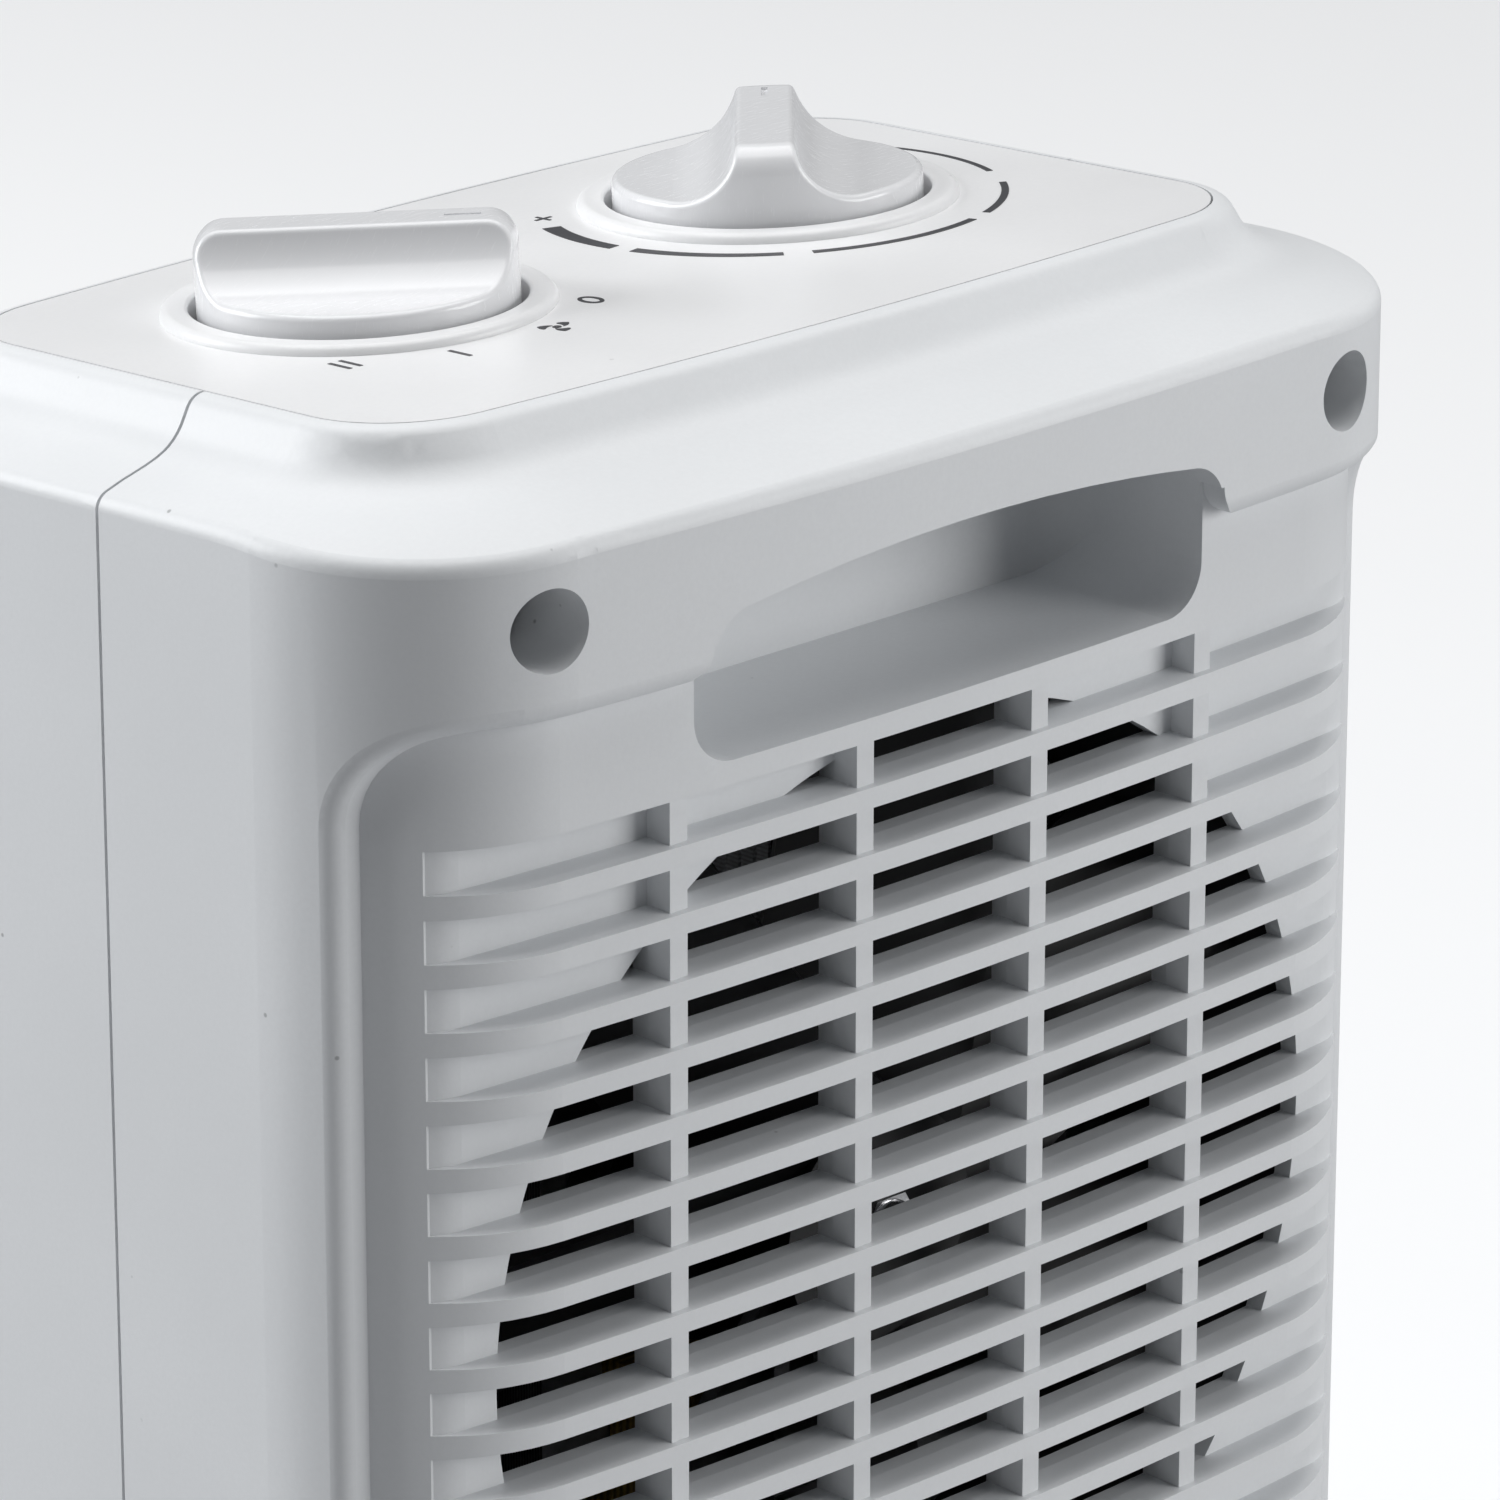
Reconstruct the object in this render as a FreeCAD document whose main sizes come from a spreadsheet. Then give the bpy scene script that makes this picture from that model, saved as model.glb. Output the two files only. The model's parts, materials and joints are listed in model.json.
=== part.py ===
import FreeCAD, Part
import math
import os
import Sketcher

# Small upright ceramic fan heater.
# Frame: origin on the floor under the middle of the case, +Z up, warm air leaves at -Y,
# the intake grille is at +Y. Millimetres throughout.

V = FreeCAD.Vector
X_AXIS = V(1, 0, 0)
Y_AXIS = V(0, 1, 0)
Z_AXIS = V(0, 0, 1)

SIZES = {
    # case
    "body_width": 172.0,
    "body_depth": 115.0,
    "corner_radius": 26.7,
    "bow_radius": 870.0,
    "wall": 2.5,
    "foot_height": 4.0,
    "bottom_round": 3.0,
    "seam_offset": 2.4,
    "seam_gap": 0.5,
    "tongue_thick": 1.2,
    "tongue_reach": 3.0,
    "tongue_gap": 0.15,
    # sloping top
    "top_height": 226.2,
    "top_tilt": 3.59,
    "rim_side_setback": 13.4,
    "rim_rear_setback": 18.0,
    "rim_front_setback": 7.0,
    "rim_corner": 16.5,
    "crease_round": 2.2,
    # recessed intake grille
    "recess_depth": 3.5,
    "recess_top": 199.0,
    "recess_bottom": 34.0,
    "recess_wrap": 18.0,
    "recess_corner": 12.0,
    "recess_round": 2.6,
    "slot_count": 17.0,
    "slot_pitch": 8.213,
    "slot_gap": 5.68,
    "slot_top": 184.6,
    "slot_depth": 4.46,
    "slot_end_round": 8.0,
    "plate_thick": 2.6,
    "mould_draft": 0.22,
    "column_step": 28.65,
    "column_width": 2.72,
    "column_setback": 0.95,
    "fan_opening": 67.0,
    "fan_height": 116.5,
    # handle pocket
    "pocket_half_width": 41.5,
    "pocket_floor": 187.5,
    "pocket_shoulder": 206.2,
    "pocket_crown": 209.8,
    "pocket_depth": 24.5,
    "pocket_corner": 6.0,
    "pocket_wall": 2.0,
    "pocket_flare": 4.5,
    # case screws
    "screw_half_span": 64.6,
    "screw_top": 210.1,
    "screw_bottom": 22.9,
    "counterbore": 4.95,
    "counterbore_depth": 15.0,
    "boss_wall": 2.1,
    "boss_ledge": 4.0,
    "screw_shank": 2.0,
    "screw_head": 3.9,
    "screw_head_height": 2.6,
    "screw_length": 28.0,
    # control plate and knobs
    "plate_inset": 2.9,
    "plate_gap": 0.3,
    "control_thick": 2.0,
    "knob_half_span": 33.2,
    "knob_setback": 70.5,
    "knob_hole": 20.1,
    "knob_radius": 19.1,
    "knob_top": 10.6,
    "knob_sink": 5.0,
    "knob_rim": 3.6,
    "knob_ridge": 7.0,
    "knob_scoop": 8.0,
    "knob_lean": 14.0,
    "knob_ends": 3.4,
    "knob_rounding": 0.8,
    "knob_wall": 1.8,
    "pointer_start": 10.5,
    "pointer_length": 4.4,
    "pointer_width": 0.8,
    "pointer_depth": 0.3,
    "collar_width": 3.4,
    "collar_height": 1.24,
    "function_knob_angle": 46.4,
    "thermostat_knob_angle": 136.4,
    "knob_shaft": 3.0,
    "shaft_reach": 10.0,
    "switch_drop": 14.0,
    "switch_side": 25.0,
    "switch_depth": 15.0,
    "thermostat_length": 34.0,
    "thermostat_width": 17.0,
    "thermostat_depth": 12.0,
    "bracket_thick": 1.5,
    "bracket_width": 34.0,
    "bracket_fore": 11.0,
    "bracket_overhang": 5.2,
    "bracket_post": 3.0,
    "bracket_post_inset": 3.2,
    "neck_wall": 1.5,
    "neck_proud": 1.0,
    "tag_length": 7.0,
    # outlet grille
    "outlet_half_width": 60.0,
    "outlet_bottom": 62.0,
    "outlet_top": 171.0,
    "outlet_corner": 12.0,
    "outlet_gap": 0.4,
    "outlet_flange": 4.0,
    "outlet_thick": 2.0,
    "outlet_proud": 2.6,
    "outlet_recess": 3.0,
    "outlet_side": 7.0,
    "outlet_pitch": 8.5,
    "outlet_slot": 5.9,
    "outlet_count": 11.0,
    "outlet_rib": 2.2,
    "outlet_rib_step": 27.0,
    # fan and motor
    "shroud_wall": 1.5,
    "shroud_clear": 0.2,
    "shroud_length": 30.0,
    "shroud_plate": 2.0,
    "shroud_half_width": 78.0,
    "fit_gap": 0.3,
    "impeller_radius": 64.5,
    "impeller_depth": 17.0,
    "blade_thick": 1.6,
    "blade_count": 7.0,
    "blade_pitch": 32.0,
    "hub_radius": 15.0,
    "hub_back": 41.0,
    "motor_shaft": 2.5,
    "nut_radius": 4.6,
    "nut_height": 3.6,
    "rotor_radius": 11.0,
    "rotor_air_gap": 0.5,
    "stack_thick": 16.0,
    "stack_side": 42.0,
    "stack_leg": 8.0,
    "stack_window": 14.0,
    "stack_cheek": 10.0,
    "coil_build": 4.0,
    "coil_height": 20.5,
    "bracket_plate": 1.6,
    "bracket_step": 3.0,
    "motor_strap": 12.0,
    "motor_screw": 1.6,
    "motor_screw_inset": 4.0,
    "motor_boss": 4.0,
    "bush_radius": 5.5,
    "bush_length": 8.0,
    "running_gap": 0.05,
    # heating element
    "element_half_width": 52.0,
    "element_height": 84.0,
    "element_depth": 15.0,
    "element_front": -47.0,
    "element_rows": 4.0,
    "rod_height": 6.0,
    "fin_pitch": 2.6,
    "fin_thick": 0.5,
    "element_border": 7.0,
    # rest
    "foot_radius": 9.0,
    "foot_peg": 2.4,
    "foot_span_x": 58.0,
    "foot_span_y": 34.0,
    "inlet_bore": 3.6,
    "inlet_radius": 7.0,
    "inlet_flange": 1.2,
    "inlet_offset": 40.0,
}

doc = FreeCAD.newDocument("fan_heater")
sheet = doc.addObject("Spreadsheet::Sheet", "Sizes")
for row, (alias, value) in enumerate(SIZES.items(), start=1):
    sheet.set("A%d" % row, alias)
    sheet.set("B%d" % row, str(value))
    sheet.setAlias("B%d" % row, alias)
doc.recompute()


def size(alias):
    """Value of one named cell."""
    return float(sheet.get(alias))


NODES = []


def node(obj, name):
    """Marks a document object as the finished sub-part `name`."""
    obj.Label = name
    NODES.append(obj)
    return obj


def feature(name, shape, placement=None):
    """A sub-part whose shape is made with Part's own functions."""
    obj = doc.addObject("Part::Feature", name + "_shape")
    obj.Shape = shape
    if placement is not None:
        obj.Placement = placement
    return node(obj, name)


# ---------------------------------------------------------------- parametric primitives


def cell(text):
    """Turns `body_width / 2` into `Sizes.body_width / 2`."""
    words = text.replace("(", " ( ").replace(")", " ) ").split()
    return " ".join("Sizes." + word if word in SIZES else word for word in words)


def bind(obj, **expressions):
    """Binds properties to the sheet; `at_x` and the like bind the placement."""
    for prop, text in expressions.items():
        path = ".Placement.Base." + prop[-1] if prop.startswith("at_") else prop
        obj.setExpression(path, cell(text))
    return obj


def turn(obj, axis, angle):
    """Sets a fixed starting rotation before the placement is bound."""
    obj.Placement = FreeCAD.Placement(V(), FreeCAD.Rotation(axis, angle))
    return obj


def box(length, width, height, x="0", y="0", z="0"):
    """Box from its lower corner."""
    obj = doc.addObject("Part::Box", "Box")
    return bind(obj, Length=length, Width=width, Height=height, at_x=x, at_y=y, at_z=z)


def cylinder(radius, height, x="0", y="0", z="0", axis="z"):
    """Cylinder that starts at the given point and runs along +axis."""
    obj = doc.addObject("Part::Cylinder", "Cylinder")
    if axis == "x":
        turn(obj, Y_AXIS, 90)
    if axis == "y":
        turn(obj, X_AXIS, -90)
    return bind(obj, Radius=radius, Height=height, at_x=x, at_y=y, at_z=z)


def cone(radius_start, radius_end, height, x="0", y="0", z="0"):
    """Upright cone from its lower centre."""
    obj = doc.addObject("Part::Cone", "Cone")
    return bind(obj, Radius1=radius_start, Radius2=radius_end, Height=height, at_x=x, at_y=y, at_z=z)


def fuse(*shapes):
    """Boolean union of document objects."""
    obj = doc.addObject("Part::MultiFuse", "Fusion")
    obj.Shapes = list(shapes)
    obj.Refine = True
    return obj


def group(*shapes):
    """Separate solids kept together in one node."""
    obj = doc.addObject("Part::Compound", "Group")
    obj.Links = list(shapes)
    return obj


def cut(base, *tools):
    """Boolean difference of document objects."""
    obj = doc.addObject("Part::Cut", "Cut")
    obj.Base = base
    obj.Tool = tools[0] if len(tools) == 1 else fuse(*tools)
    obj.Refine = True
    return obj


# ---------------------------------------------------------------- values worked out once

HALF_WIDTH = size("body_width") / 2
CROWN = size("body_depth") / 2
SEAM = size("seam_offset")
WALL = size("wall")
FLOOR = size("foot_height")
BOW = size("bow_radius")
KNOB_Y = CROWN - size("knob_setback")
TOP = size("top_height")
TILT = size("top_tilt")
FAN_Z = size("fan_height")
GRILLE_FACE = CROWN - size("recess_depth")
PLATE_FACE = GRILLE_FACE - size("slot_depth")
PLATE_BACK = PLATE_FACE - size("plate_thick")
SHROUD_MOUTH = PLATE_BACK - size("shroud_clear")
SHROUD_FOOT = SHROUD_MOUTH - size("shroud_length")
REACH = 400.0

TOP_PLANE = FreeCAD.Placement(V(0, KNOB_Y, TOP), FreeCAD.Rotation(X_AXIS, TILT))
"""Local frame of the sloping top: origin midway between the knobs, z normal to the plate."""

# How the shoulder falls away outside the rim, as (outward distance, drop) in the top's frame:
# a rounded rim, a hollow moulding, then a slope that runs out through the side walls.
SHOULDER = [
    (-2.4, 0.0),
    (-1.7, 0.12),
    (-0.8, 0.6),
    (-0.1, 1.5),
    (0.5, 2.7),
    (1.4, 4.1),
    (2.8, 5.4),
    (5.0, 6.5),
    (8.0, 7.4),
    (11.0, 8.3),
    (14.0, 9.5),
    (18.0, 11.4),
    (28.0, 16.4),
]


def outline(half_width, rear, front, radius, bow, z=0.0):
    """Closed plan wire: bowed rear and front, straight sides, tangent round corners."""

    def corner(crown, sign):
        """Corner centre and the point where its arc meets the bow."""
        bow_y = crown - sign * bow
        centre_x = half_width - radius
        centre_y = bow_y + sign * math.sqrt((bow - radius) ** 2 - centre_x**2)
        stretch = bow / (bow - radius)
        return centre_x, centre_y, centre_x * stretch, bow_y + (centre_y - bow_y) * stretch

    def corner_arc(found, side):
        """Arc from the bow to the side wall."""
        centre_x, centre_y, meet_x, meet_y = found
        middle = math.atan2(meet_y - centre_y, meet_x - centre_x) / 2
        bulge = V(side * (centre_x + radius * math.cos(middle)), centre_y + radius * math.sin(middle), z)
        return Part.Arc(V(side * meet_x, meet_y, z), bulge, V(side * half_width, centre_y, z))

    back = corner(rear, 1)
    fore = corner(front, -1)
    curves = [
        Part.Arc(V(-back[2], back[3], z), V(0, rear, z), V(back[2], back[3], z)),
        corner_arc(back, 1),
        Part.LineSegment(V(half_width, back[1], z), V(half_width, fore[1], z)),
        corner_arc(fore, 1),
        Part.Arc(V(fore[2], fore[3], z), V(0, front, z), V(-fore[2], fore[3], z)),
        corner_arc(fore, -1),
        Part.LineSegment(V(-half_width, fore[1], z), V(-half_width, back[1], z)),
        corner_arc(back, -1),
    ]
    ordered = Part.__sortEdges__([curve.toShape() for curve in curves])
    return Part.Wire(ordered)


def rim_outline(outward, z):
    """Outline of the top's rim, grown outward, in the top's local frame."""
    rear = CROWN - size("rim_rear_setback") - KNOB_Y
    front = -CROWN + size("rim_front_setback") - KNOB_Y
    half_width = HALF_WIDTH - size("rim_side_setback") + outward
    return outline(half_width, rear + outward, front - outward, size("rim_corner") + outward, BOW, z)


def shoulder_cutter(inset):
    """Everything outside the rim and above the shoulder, swept once round the rim."""
    rim = rim_outline(0.0, 0.0)
    rear = CROWN - size("rim_rear_setback") - KNOB_Y
    points = [V(0, rear + out - inset, -drop - inset) for out, drop in SHOULDER]
    slope = Part.BSplineCurve()
    slope.interpolate(points)
    corners = [points[-1], V(0, points[-1].y, TOP / 8), V(0, points[0].y, TOP / 8), points[0]]
    profile = Part.Wire([slope.toShape(), *Part.makePolygon(corners).Edges])
    sweep = Part.BRepOffsetAPI.MakePipeShell(rim)
    sweep.setFrenetMode(True)
    sweep.add(profile)
    sweep.build()
    sweep.makeSolid()
    cutter = sweep.shape()
    cutter.Placement = TOP_PLANE
    return cutter


def case_solid(inset, rounded=False):
    """Solid of the case's outer form, every face moved inward by `inset`."""
    floor = FLOOR + inset
    radius = size("corner_radius") - inset
    plan = outline(HALF_WIDTH - inset, CROWN - inset, inset - CROWN, radius, BOW - inset, floor)
    column = Part.Face(plan).extrude(V(0, 0, REACH))
    if rounded:
        lowest = [edge for edge in column.Edges if edge.BoundBox.ZMax < floor + 1e-3]
        column = column.makeFillet(size("bottom_round"), lowest)
    above = Part.makeBox(2 * REACH, 2 * REACH, REACH, V(-REACH, -REACH, -inset))
    above.Placement = TOP_PLANE
    return column.cut(above).cut(shoulder_cutter(inset))


def cavity_form(inset):
    """Case form moved inward, with its roof a full `inset` below the control plate's seat."""
    roof = V(-REACH, -REACH, -size("control_thick") - inset)
    above = Part.makeBox(2 * REACH, 2 * REACH, REACH, roof)
    above.Placement = TOP_PLANE
    return case_solid(inset).cut(above)


def slab(y_low, y_high, z_low=-REACH, z_high=REACH, half_width=REACH):
    """Box that is symmetric across the width."""
    corner = V(-half_width, y_low, z_low)
    return Part.makeBox(2 * half_width, y_high - y_low, z_high - z_low, corner)


def bow_ring(profile):
    """Revolves (y, z) points about the upright axis of the rear face's bow."""
    points = [V(0, y, z) for y, z in profile]
    face = Part.Face(Part.makePolygon(points + points[:1]))
    spread = 16.0
    ring = face.revolve(V(0, CROWN - BOW, 0), Z_AXIS, spread)
    ring.rotate(V(0, CROWN - BOW, 0), Z_AXIS, -spread / 2)
    return ring


def outer_case():
    """Outer form with a softened shoulder crease."""
    case = case_solid(0.0, rounded=True)
    crease = []
    for edge in case.Edges:
        faces = [face for face in case.Faces if any(edge.isSame(other) for other in face.Edges)]
        walls = [face for face in faces if face.BoundBox.ZLength > TOP / 2]
        if edge.BoundBox.ZMin > TOP / 2 and len(walls) == 1:
            crease.append(edge)
    return case.makeFillet(size("crease_round"), crease)


# ---------------------------------------------------------------- rear shell


def recess_slab():
    """Block that cuts the grille recess: rounded in side view, full width."""
    near = CROWN - size("recess_wrap")
    low = size("recess_bottom")
    high = size("recess_top")
    block = slab(near, REACH, low, high)
    inner = [
        edge
        for edge in block.Edges
        if edge.BoundBox.XLength > REACH and abs(edge.BoundBox.YMin - near) < 1e-3
    ]
    return block.makeFillet(size("recess_corner"), inner)


def recessed_form(case):
    """Case with the grille field stepped in, and a rounded lip around the step."""
    stepped = case.cut(recess_slab().cut(case_solid(size("recess_depth"))))
    near = CROWN - size("recess_wrap")
    core = case_solid(0.3)
    lip = []
    for edge in stepped.Edges:
        bounds = edge.BoundBox
        inside = bounds.ZMin > size("recess_bottom") - 0.1 and bounds.ZMax < size("recess_top") + 0.1
        if not inside or bounds.YMin < near - 0.1:
            continue
        middle = edge.valueAt((edge.FirstParameter + edge.LastParameter) / 2)
        if not core.isInside(middle, 1e-4, False):
            lip.append(edge)
    return stepped.makeFillet(size("recess_round"), lip)


def groove_floor():
    """Block outside the grooves' floor: bowed, then rolling out through the recess's round corners."""
    bow_centre = V(0, CROWN - BOW, 0)
    floor_radius = BOW - (CROWN - PLATE_FACE)
    corner_radius = size("corner_radius") - size("recess_depth")
    corner_x = HALF_WIDTH - size("corner_radius")
    corner_y = CROWN - BOW + math.sqrt((BOW - size("corner_radius")) ** 2 - corner_x**2)
    roll = size("slot_end_round")
    span = math.hypot(corner_x, corner_y - bow_centre.y)
    reach = floor_radius - roll
    inward = corner_radius - roll
    along = (span**2 + reach**2 - inward**2) / (2 * span)
    aside = math.sqrt(reach**2 - along**2)
    ray = V(corner_x / span, (corner_y - bow_centre.y) / span, 0)
    centre = bow_centre + ray * along + V(ray.y, -ray.x, 0) * aside
    start = math.atan2(centre.y - bow_centre.y, centre.x)
    full_turn = start - math.atan2(centre.y - corner_y, centre.x - corner_x)
    points = []
    for share in (0.0, 0.4, 0.8):
        angle = start - share * full_turn
        points.append(V(centre.x + roll * math.cos(angle), centre.y + roll * math.sin(angle), 0))
    leave = start - 0.8 * full_turn - math.pi / 2
    points.append(points[2] + V(math.cos(leave), math.sin(leave), 0) * REACH / 8)
    points.append(V(points[3].x, CROWN + REACH / 8, 0))
    mirrored = [V(-point.x, point.y, 0) for point in points]
    curves = [
        Part.Arc(mirrored[0], V(0, PLATE_FACE, 0), points[0]),
        Part.Arc(*points[:3]),
        Part.LineSegment(points[2], points[3]),
        Part.LineSegment(points[3], points[4]),
        Part.LineSegment(points[4], mirrored[4]),
        Part.LineSegment(mirrored[4], mirrored[3]),
        Part.LineSegment(mirrored[3], mirrored[2]),
        Part.Arc(*mirrored[2::-1]),
    ]
    plan = Part.Face(Part.Wire(Part.__sortEdges__([curve.toShape() for curve in curves])))
    return plan.extrude(V(0, 0, REACH))


def grille_slots():
    """Gaps of the grille, drafted both ways from the plate's face, columns left standing."""
    gap = size("slot_gap")
    draft = size("mould_draft")
    outside = CROWN + 20.0
    flare = draft * (outside - PLATE_FACE) / size("slot_depth")
    opening = Part.makeCylinder(size("fan_opening"), 60.0, V(0, CROWN - 40, FAN_Z), Y_AXIS)
    columns = grille_columns()
    floor = groove_floor()
    tools = []
    for index in range(int(size("slot_count"))):
        high = size("slot_top") - index * size("slot_pitch")
        low = high - gap
        groove = bow_ring(
            [
                (PLATE_FACE - 1, low + draft),
                (PLATE_FACE, low + draft),
                (outside, low + draft - flare),
                (outside, high - draft + flare),
                (PLATE_FACE, high - draft),
                (PLATE_FACE - 1, high - draft),
            ]
        ).common(floor)
        way = bow_ring(
            [
                (PLATE_FACE + 0.5, low + draft),
                (PLATE_FACE + 0.5, high - draft),
                (PLATE_FACE, high - draft),
                (PLATE_BACK - 1, high),
                (PLATE_BACK - 1, low),
                (PLATE_FACE, low + draft),
            ]
        )
        tools.append(groove.fuse(way.common(opening)).cut(columns))
    return tools


def grille_columns():
    """Four upright columns that tie the bars, drafted like the slots."""
    half = size("column_width") / 2
    draft = size("mould_draft")
    step = size("column_step")
    columns = []
    for place in (-1.5, -0.5, 0.5, 1.5):
        x = place * step
        sag = x * x / (2 * BOW)
        face_y = GRILLE_FACE - size("column_setback") - sag
        points = [
            V(x - half, face_y, 0),
            V(x - half - draft, PLATE_FACE - sag, 0),
            V(x - half, PLATE_BACK - 2 - sag, 0),
            V(x + half, PLATE_BACK - 2 - sag, 0),
            V(x + half + draft, PLATE_FACE - sag, 0),
            V(x + half, face_y, 0),
        ]
        profile = Part.Face(Part.makePolygon(points + points[:1]))
        columns.append(profile.extrude(V(0, 0, REACH)))
    return Part.makeCompound(columns)


def pocket_form(grow, back):
    """Handle pocket: arched mouth outline run inwards, with round inner corners in plan."""
    half = size("pocket_half_width") + grow
    floor = size("pocket_floor") - grow
    shoulder = size("pocket_shoulder") + grow
    crown = size("pocket_crown") + grow
    curves = [
        Part.LineSegment(V(-half, 0, floor), V(half, 0, floor)),
        Part.LineSegment(V(half, 0, floor), V(half, 0, shoulder)),
        Part.Arc(V(half, 0, shoulder), V(0, 0, crown), V(-half, 0, shoulder)),
        Part.LineSegment(V(-half, 0, shoulder), V(-half, 0, floor)),
    ]
    face = Part.Face(Part.Wire([curve.toShape() for curve in curves]))
    face.translate(V(0, back, 0))
    form = face.extrude(V(0, CROWN + 5 - back, 0))
    along = [edge for edge in form.Edges if edge.BoundBox.YLength > 10]
    form = form.makeFillet(size("pocket_corner") + grow, along)
    plan = slab(back, CROWN + 5, floor - 1, crown + 1, half)
    upright = [e for e in plan.Edges if e.BoundBox.ZLength > 10 and e.BoundBox.YMax < back + 1]
    return form.common(plan.makeFillet(size("pocket_corner") + grow, upright))


def pocket_flare():
    """Rounds off the band's two lower corners where the pocket's mouth meets the recess."""
    radius = size("pocket_flare")
    half = size("pocket_half_width")
    low = size("recess_top") - 0.5
    trims = []
    for side in (-1, 1):
        block = Part.makeBox(radius + 1, REACH, radius + 0.5, V(half - 1, 0, low))
        keep = Part.makeCylinder(radius, REACH, V(half + radius, 0, low + 0.5 + radius), Y_AXIS)
        trim = block.cut(keep)
        trims.append(trim if side > 0 else trim.mirror(V(), X_AXIS))
    return Part.makeCompound(trims).cut(case_solid(size("recess_depth")))


def screw_places():
    """(x, z) of the four case screws."""
    span = size("screw_half_span")
    return [(side * span, z) for side in (-1, 1) for z in (size("screw_bottom"), size("screw_top"))]


def rod(radius, y_low, y_high, x, z):
    """Round bar along Y."""
    return Part.makeCylinder(radius, y_high - y_low, V(x, y_low, z), Y_AXIS)


COUNTERBORE_FLOOR = CROWN - size("counterbore_depth")
BOSS_END = COUNTERBORE_FLOOR - size("boss_ledge")
POCKET_BACK = GRILLE_FACE - size("pocket_depth")


def rear_cavity():
    """Hollow inside the rear half, leaving the grille field's thicker wall."""
    cavity = cavity_form(WALL)
    low = size("recess_bottom") - WALL
    high = size("recess_top") + WALL
    field = slab(CROWN - size("recess_wrap") - WALL, REACH, low, high)
    inner_field = case_solid(size("recess_depth") + WALL).common(slab(-REACH, REACH, low, high))
    plate = bow_ring([(PLATE_BACK, low), (CROWN + 5, low), (CROWN + 5, high), (PLATE_BACK, high)])
    return cavity.cut(field.cut(inner_field)).cut(plate)


def knob_wells():
    """Round openings in the case's top for the two knobs."""
    wells = []
    for side in (-1, 1):
        centre = V(side * size("knob_half_span"), 0, -REACH / 10)
        wells.append(Part.makeCylinder(size("knob_hole") + size("plate_gap"), REACH / 5, centre))
    compound = Part.makeCompound(wells)
    compound.Placement = TOP_PLANE
    return compound


def plate_seat():
    """Shallow seat in the case's top for the control plate."""
    wire = rim_outline(size("plate_gap") - size("plate_inset"), -size("control_thick"))
    seat = Part.Face(wire).extrude(V(0, 0, REACH / 20))
    seat.Placement = TOP_PLANE
    return seat


def foot_places():
    """(x, y) of the four feet."""
    across = size("foot_span_x")
    along = size("foot_span_y")
    return [(x, y) for x in (-across, across) for y in (-along, along)]


def foot_holes():
    """Holes in the case's floor for the pegs of the feet."""
    radius = size("foot_peg") + size("plate_gap") / 2
    holes = [Part.makeCylinder(radius, FLOOR + 3 * WALL, V(x, y, 0)) for x, y in foot_places()]
    return Part.makeCompound(holes)


def cord_hole(extra):
    """Round way for the cord bush, low in the rear face."""
    return rod(size("inlet_radius") + extra, 0, CROWN + 10, size("inlet_offset"), size("screw_bottom"))


def rear_shell(case):
    """Rear half of the case: walls, grille, handle pocket and screw towers in one moulding."""
    half = slab(SEAM + size("seam_gap") / 2, REACH)
    shell = recessed_form(case).common(half).cut(rear_cavity())
    inside = case_solid(WALL / 2)
    walls = pocket_form(size("pocket_wall"), POCKET_BACK - size("pocket_wall"))
    towers = [
        rod(size("counterbore") + size("boss_wall"), BOSS_END, CROWN, x, z) for x, z in screw_places()
    ]
    field = slab(POCKET_BACK, REACH, size("recess_bottom"), size("recess_top"))
    proud = field.cut(case_solid(size("recess_depth") + WALL / 4))
    additions = walls.fuse(towers).common(inside).cut(proud)
    shell = shell.fuse(additions)
    cuts = [pocket_form(0.0, POCKET_BACK), pocket_flare(), cord_hole(0.1), plate_seat(), knob_wells()]
    cuts.append(foot_holes())
    cuts += grille_slots()
    for x, z in screw_places():
        cuts.append(rod(size("counterbore"), COUNTERBORE_FLOOR, CROWN + 10, x, z))
        cuts.append(rod(size("screw_shank") + 0.25, BOSS_END - 5, CROWN, x, z))
    for tool in cuts:
        shell = shell.cut(tool)
    return shell.removeSplitter()


# ---------------------------------------------------------------- front shell


def outlet_window(grow, y_low, y_high):
    """Rounded window of the warm-air outlet."""
    low = size("outlet_bottom") - grow
    high = size("outlet_top") + grow
    block = slab(y_low, y_high, low, high, size("outlet_half_width") + grow)
    along = [edge for edge in block.Edges if edge.BoundBox.YLength > (y_high - y_low) * 0.9]
    along = [edge for edge in along if edge.BoundBox.XLength < 1e-6 and edge.BoundBox.ZLength < 1e-6]
    return block.makeFillet(size("outlet_corner") + grow, along)


def shell_tongue():
    """Thin ledge inside the seam that laps behind the rear shell."""
    start = SEAM - size("seam_gap") / 2
    gap = size("tongue_gap")
    hollow = cavity_form(WALL + gap + size("tongue_thick"))
    lap = cavity_form(WALL + gap).common(slab(start - 1, start + size("tongue_reach")))
    root = cavity_form(WALL - gap).common(slab(start - 4, start))
    return root.fuse(lap).cut(hollow)


def front_shell(case):
    """Front half of the case with the outlet window and the screw posts."""
    half = slab(-REACH, SEAM - size("seam_gap") / 2)
    shell = case.common(half).cut(cavity_form(WALL))
    posts = [
        rod(size("screw_shank") + 3.0, -CROWN + WALL / 2, BOSS_END - 0.1, x, z) for x, z in screw_places()
    ]
    shell = shell.fuse(shell_tongue()).fuse(Part.makeCompound(posts).common(case_solid(WALL / 2)))
    cuts = [outlet_window(0.0, -CROWN - 5, -CROWN + 12), plate_seat(), knob_wells(), foot_holes()]
    for x, z in screw_places():
        tip = COUNTERBORE_FLOOR - size("screw_length")
        cuts.append(rod(size("screw_shank"), tip, BOSS_END + 1, x, z))
    for tool in cuts:
        shell = shell.cut(tool)
    return shell.removeSplitter()


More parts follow.
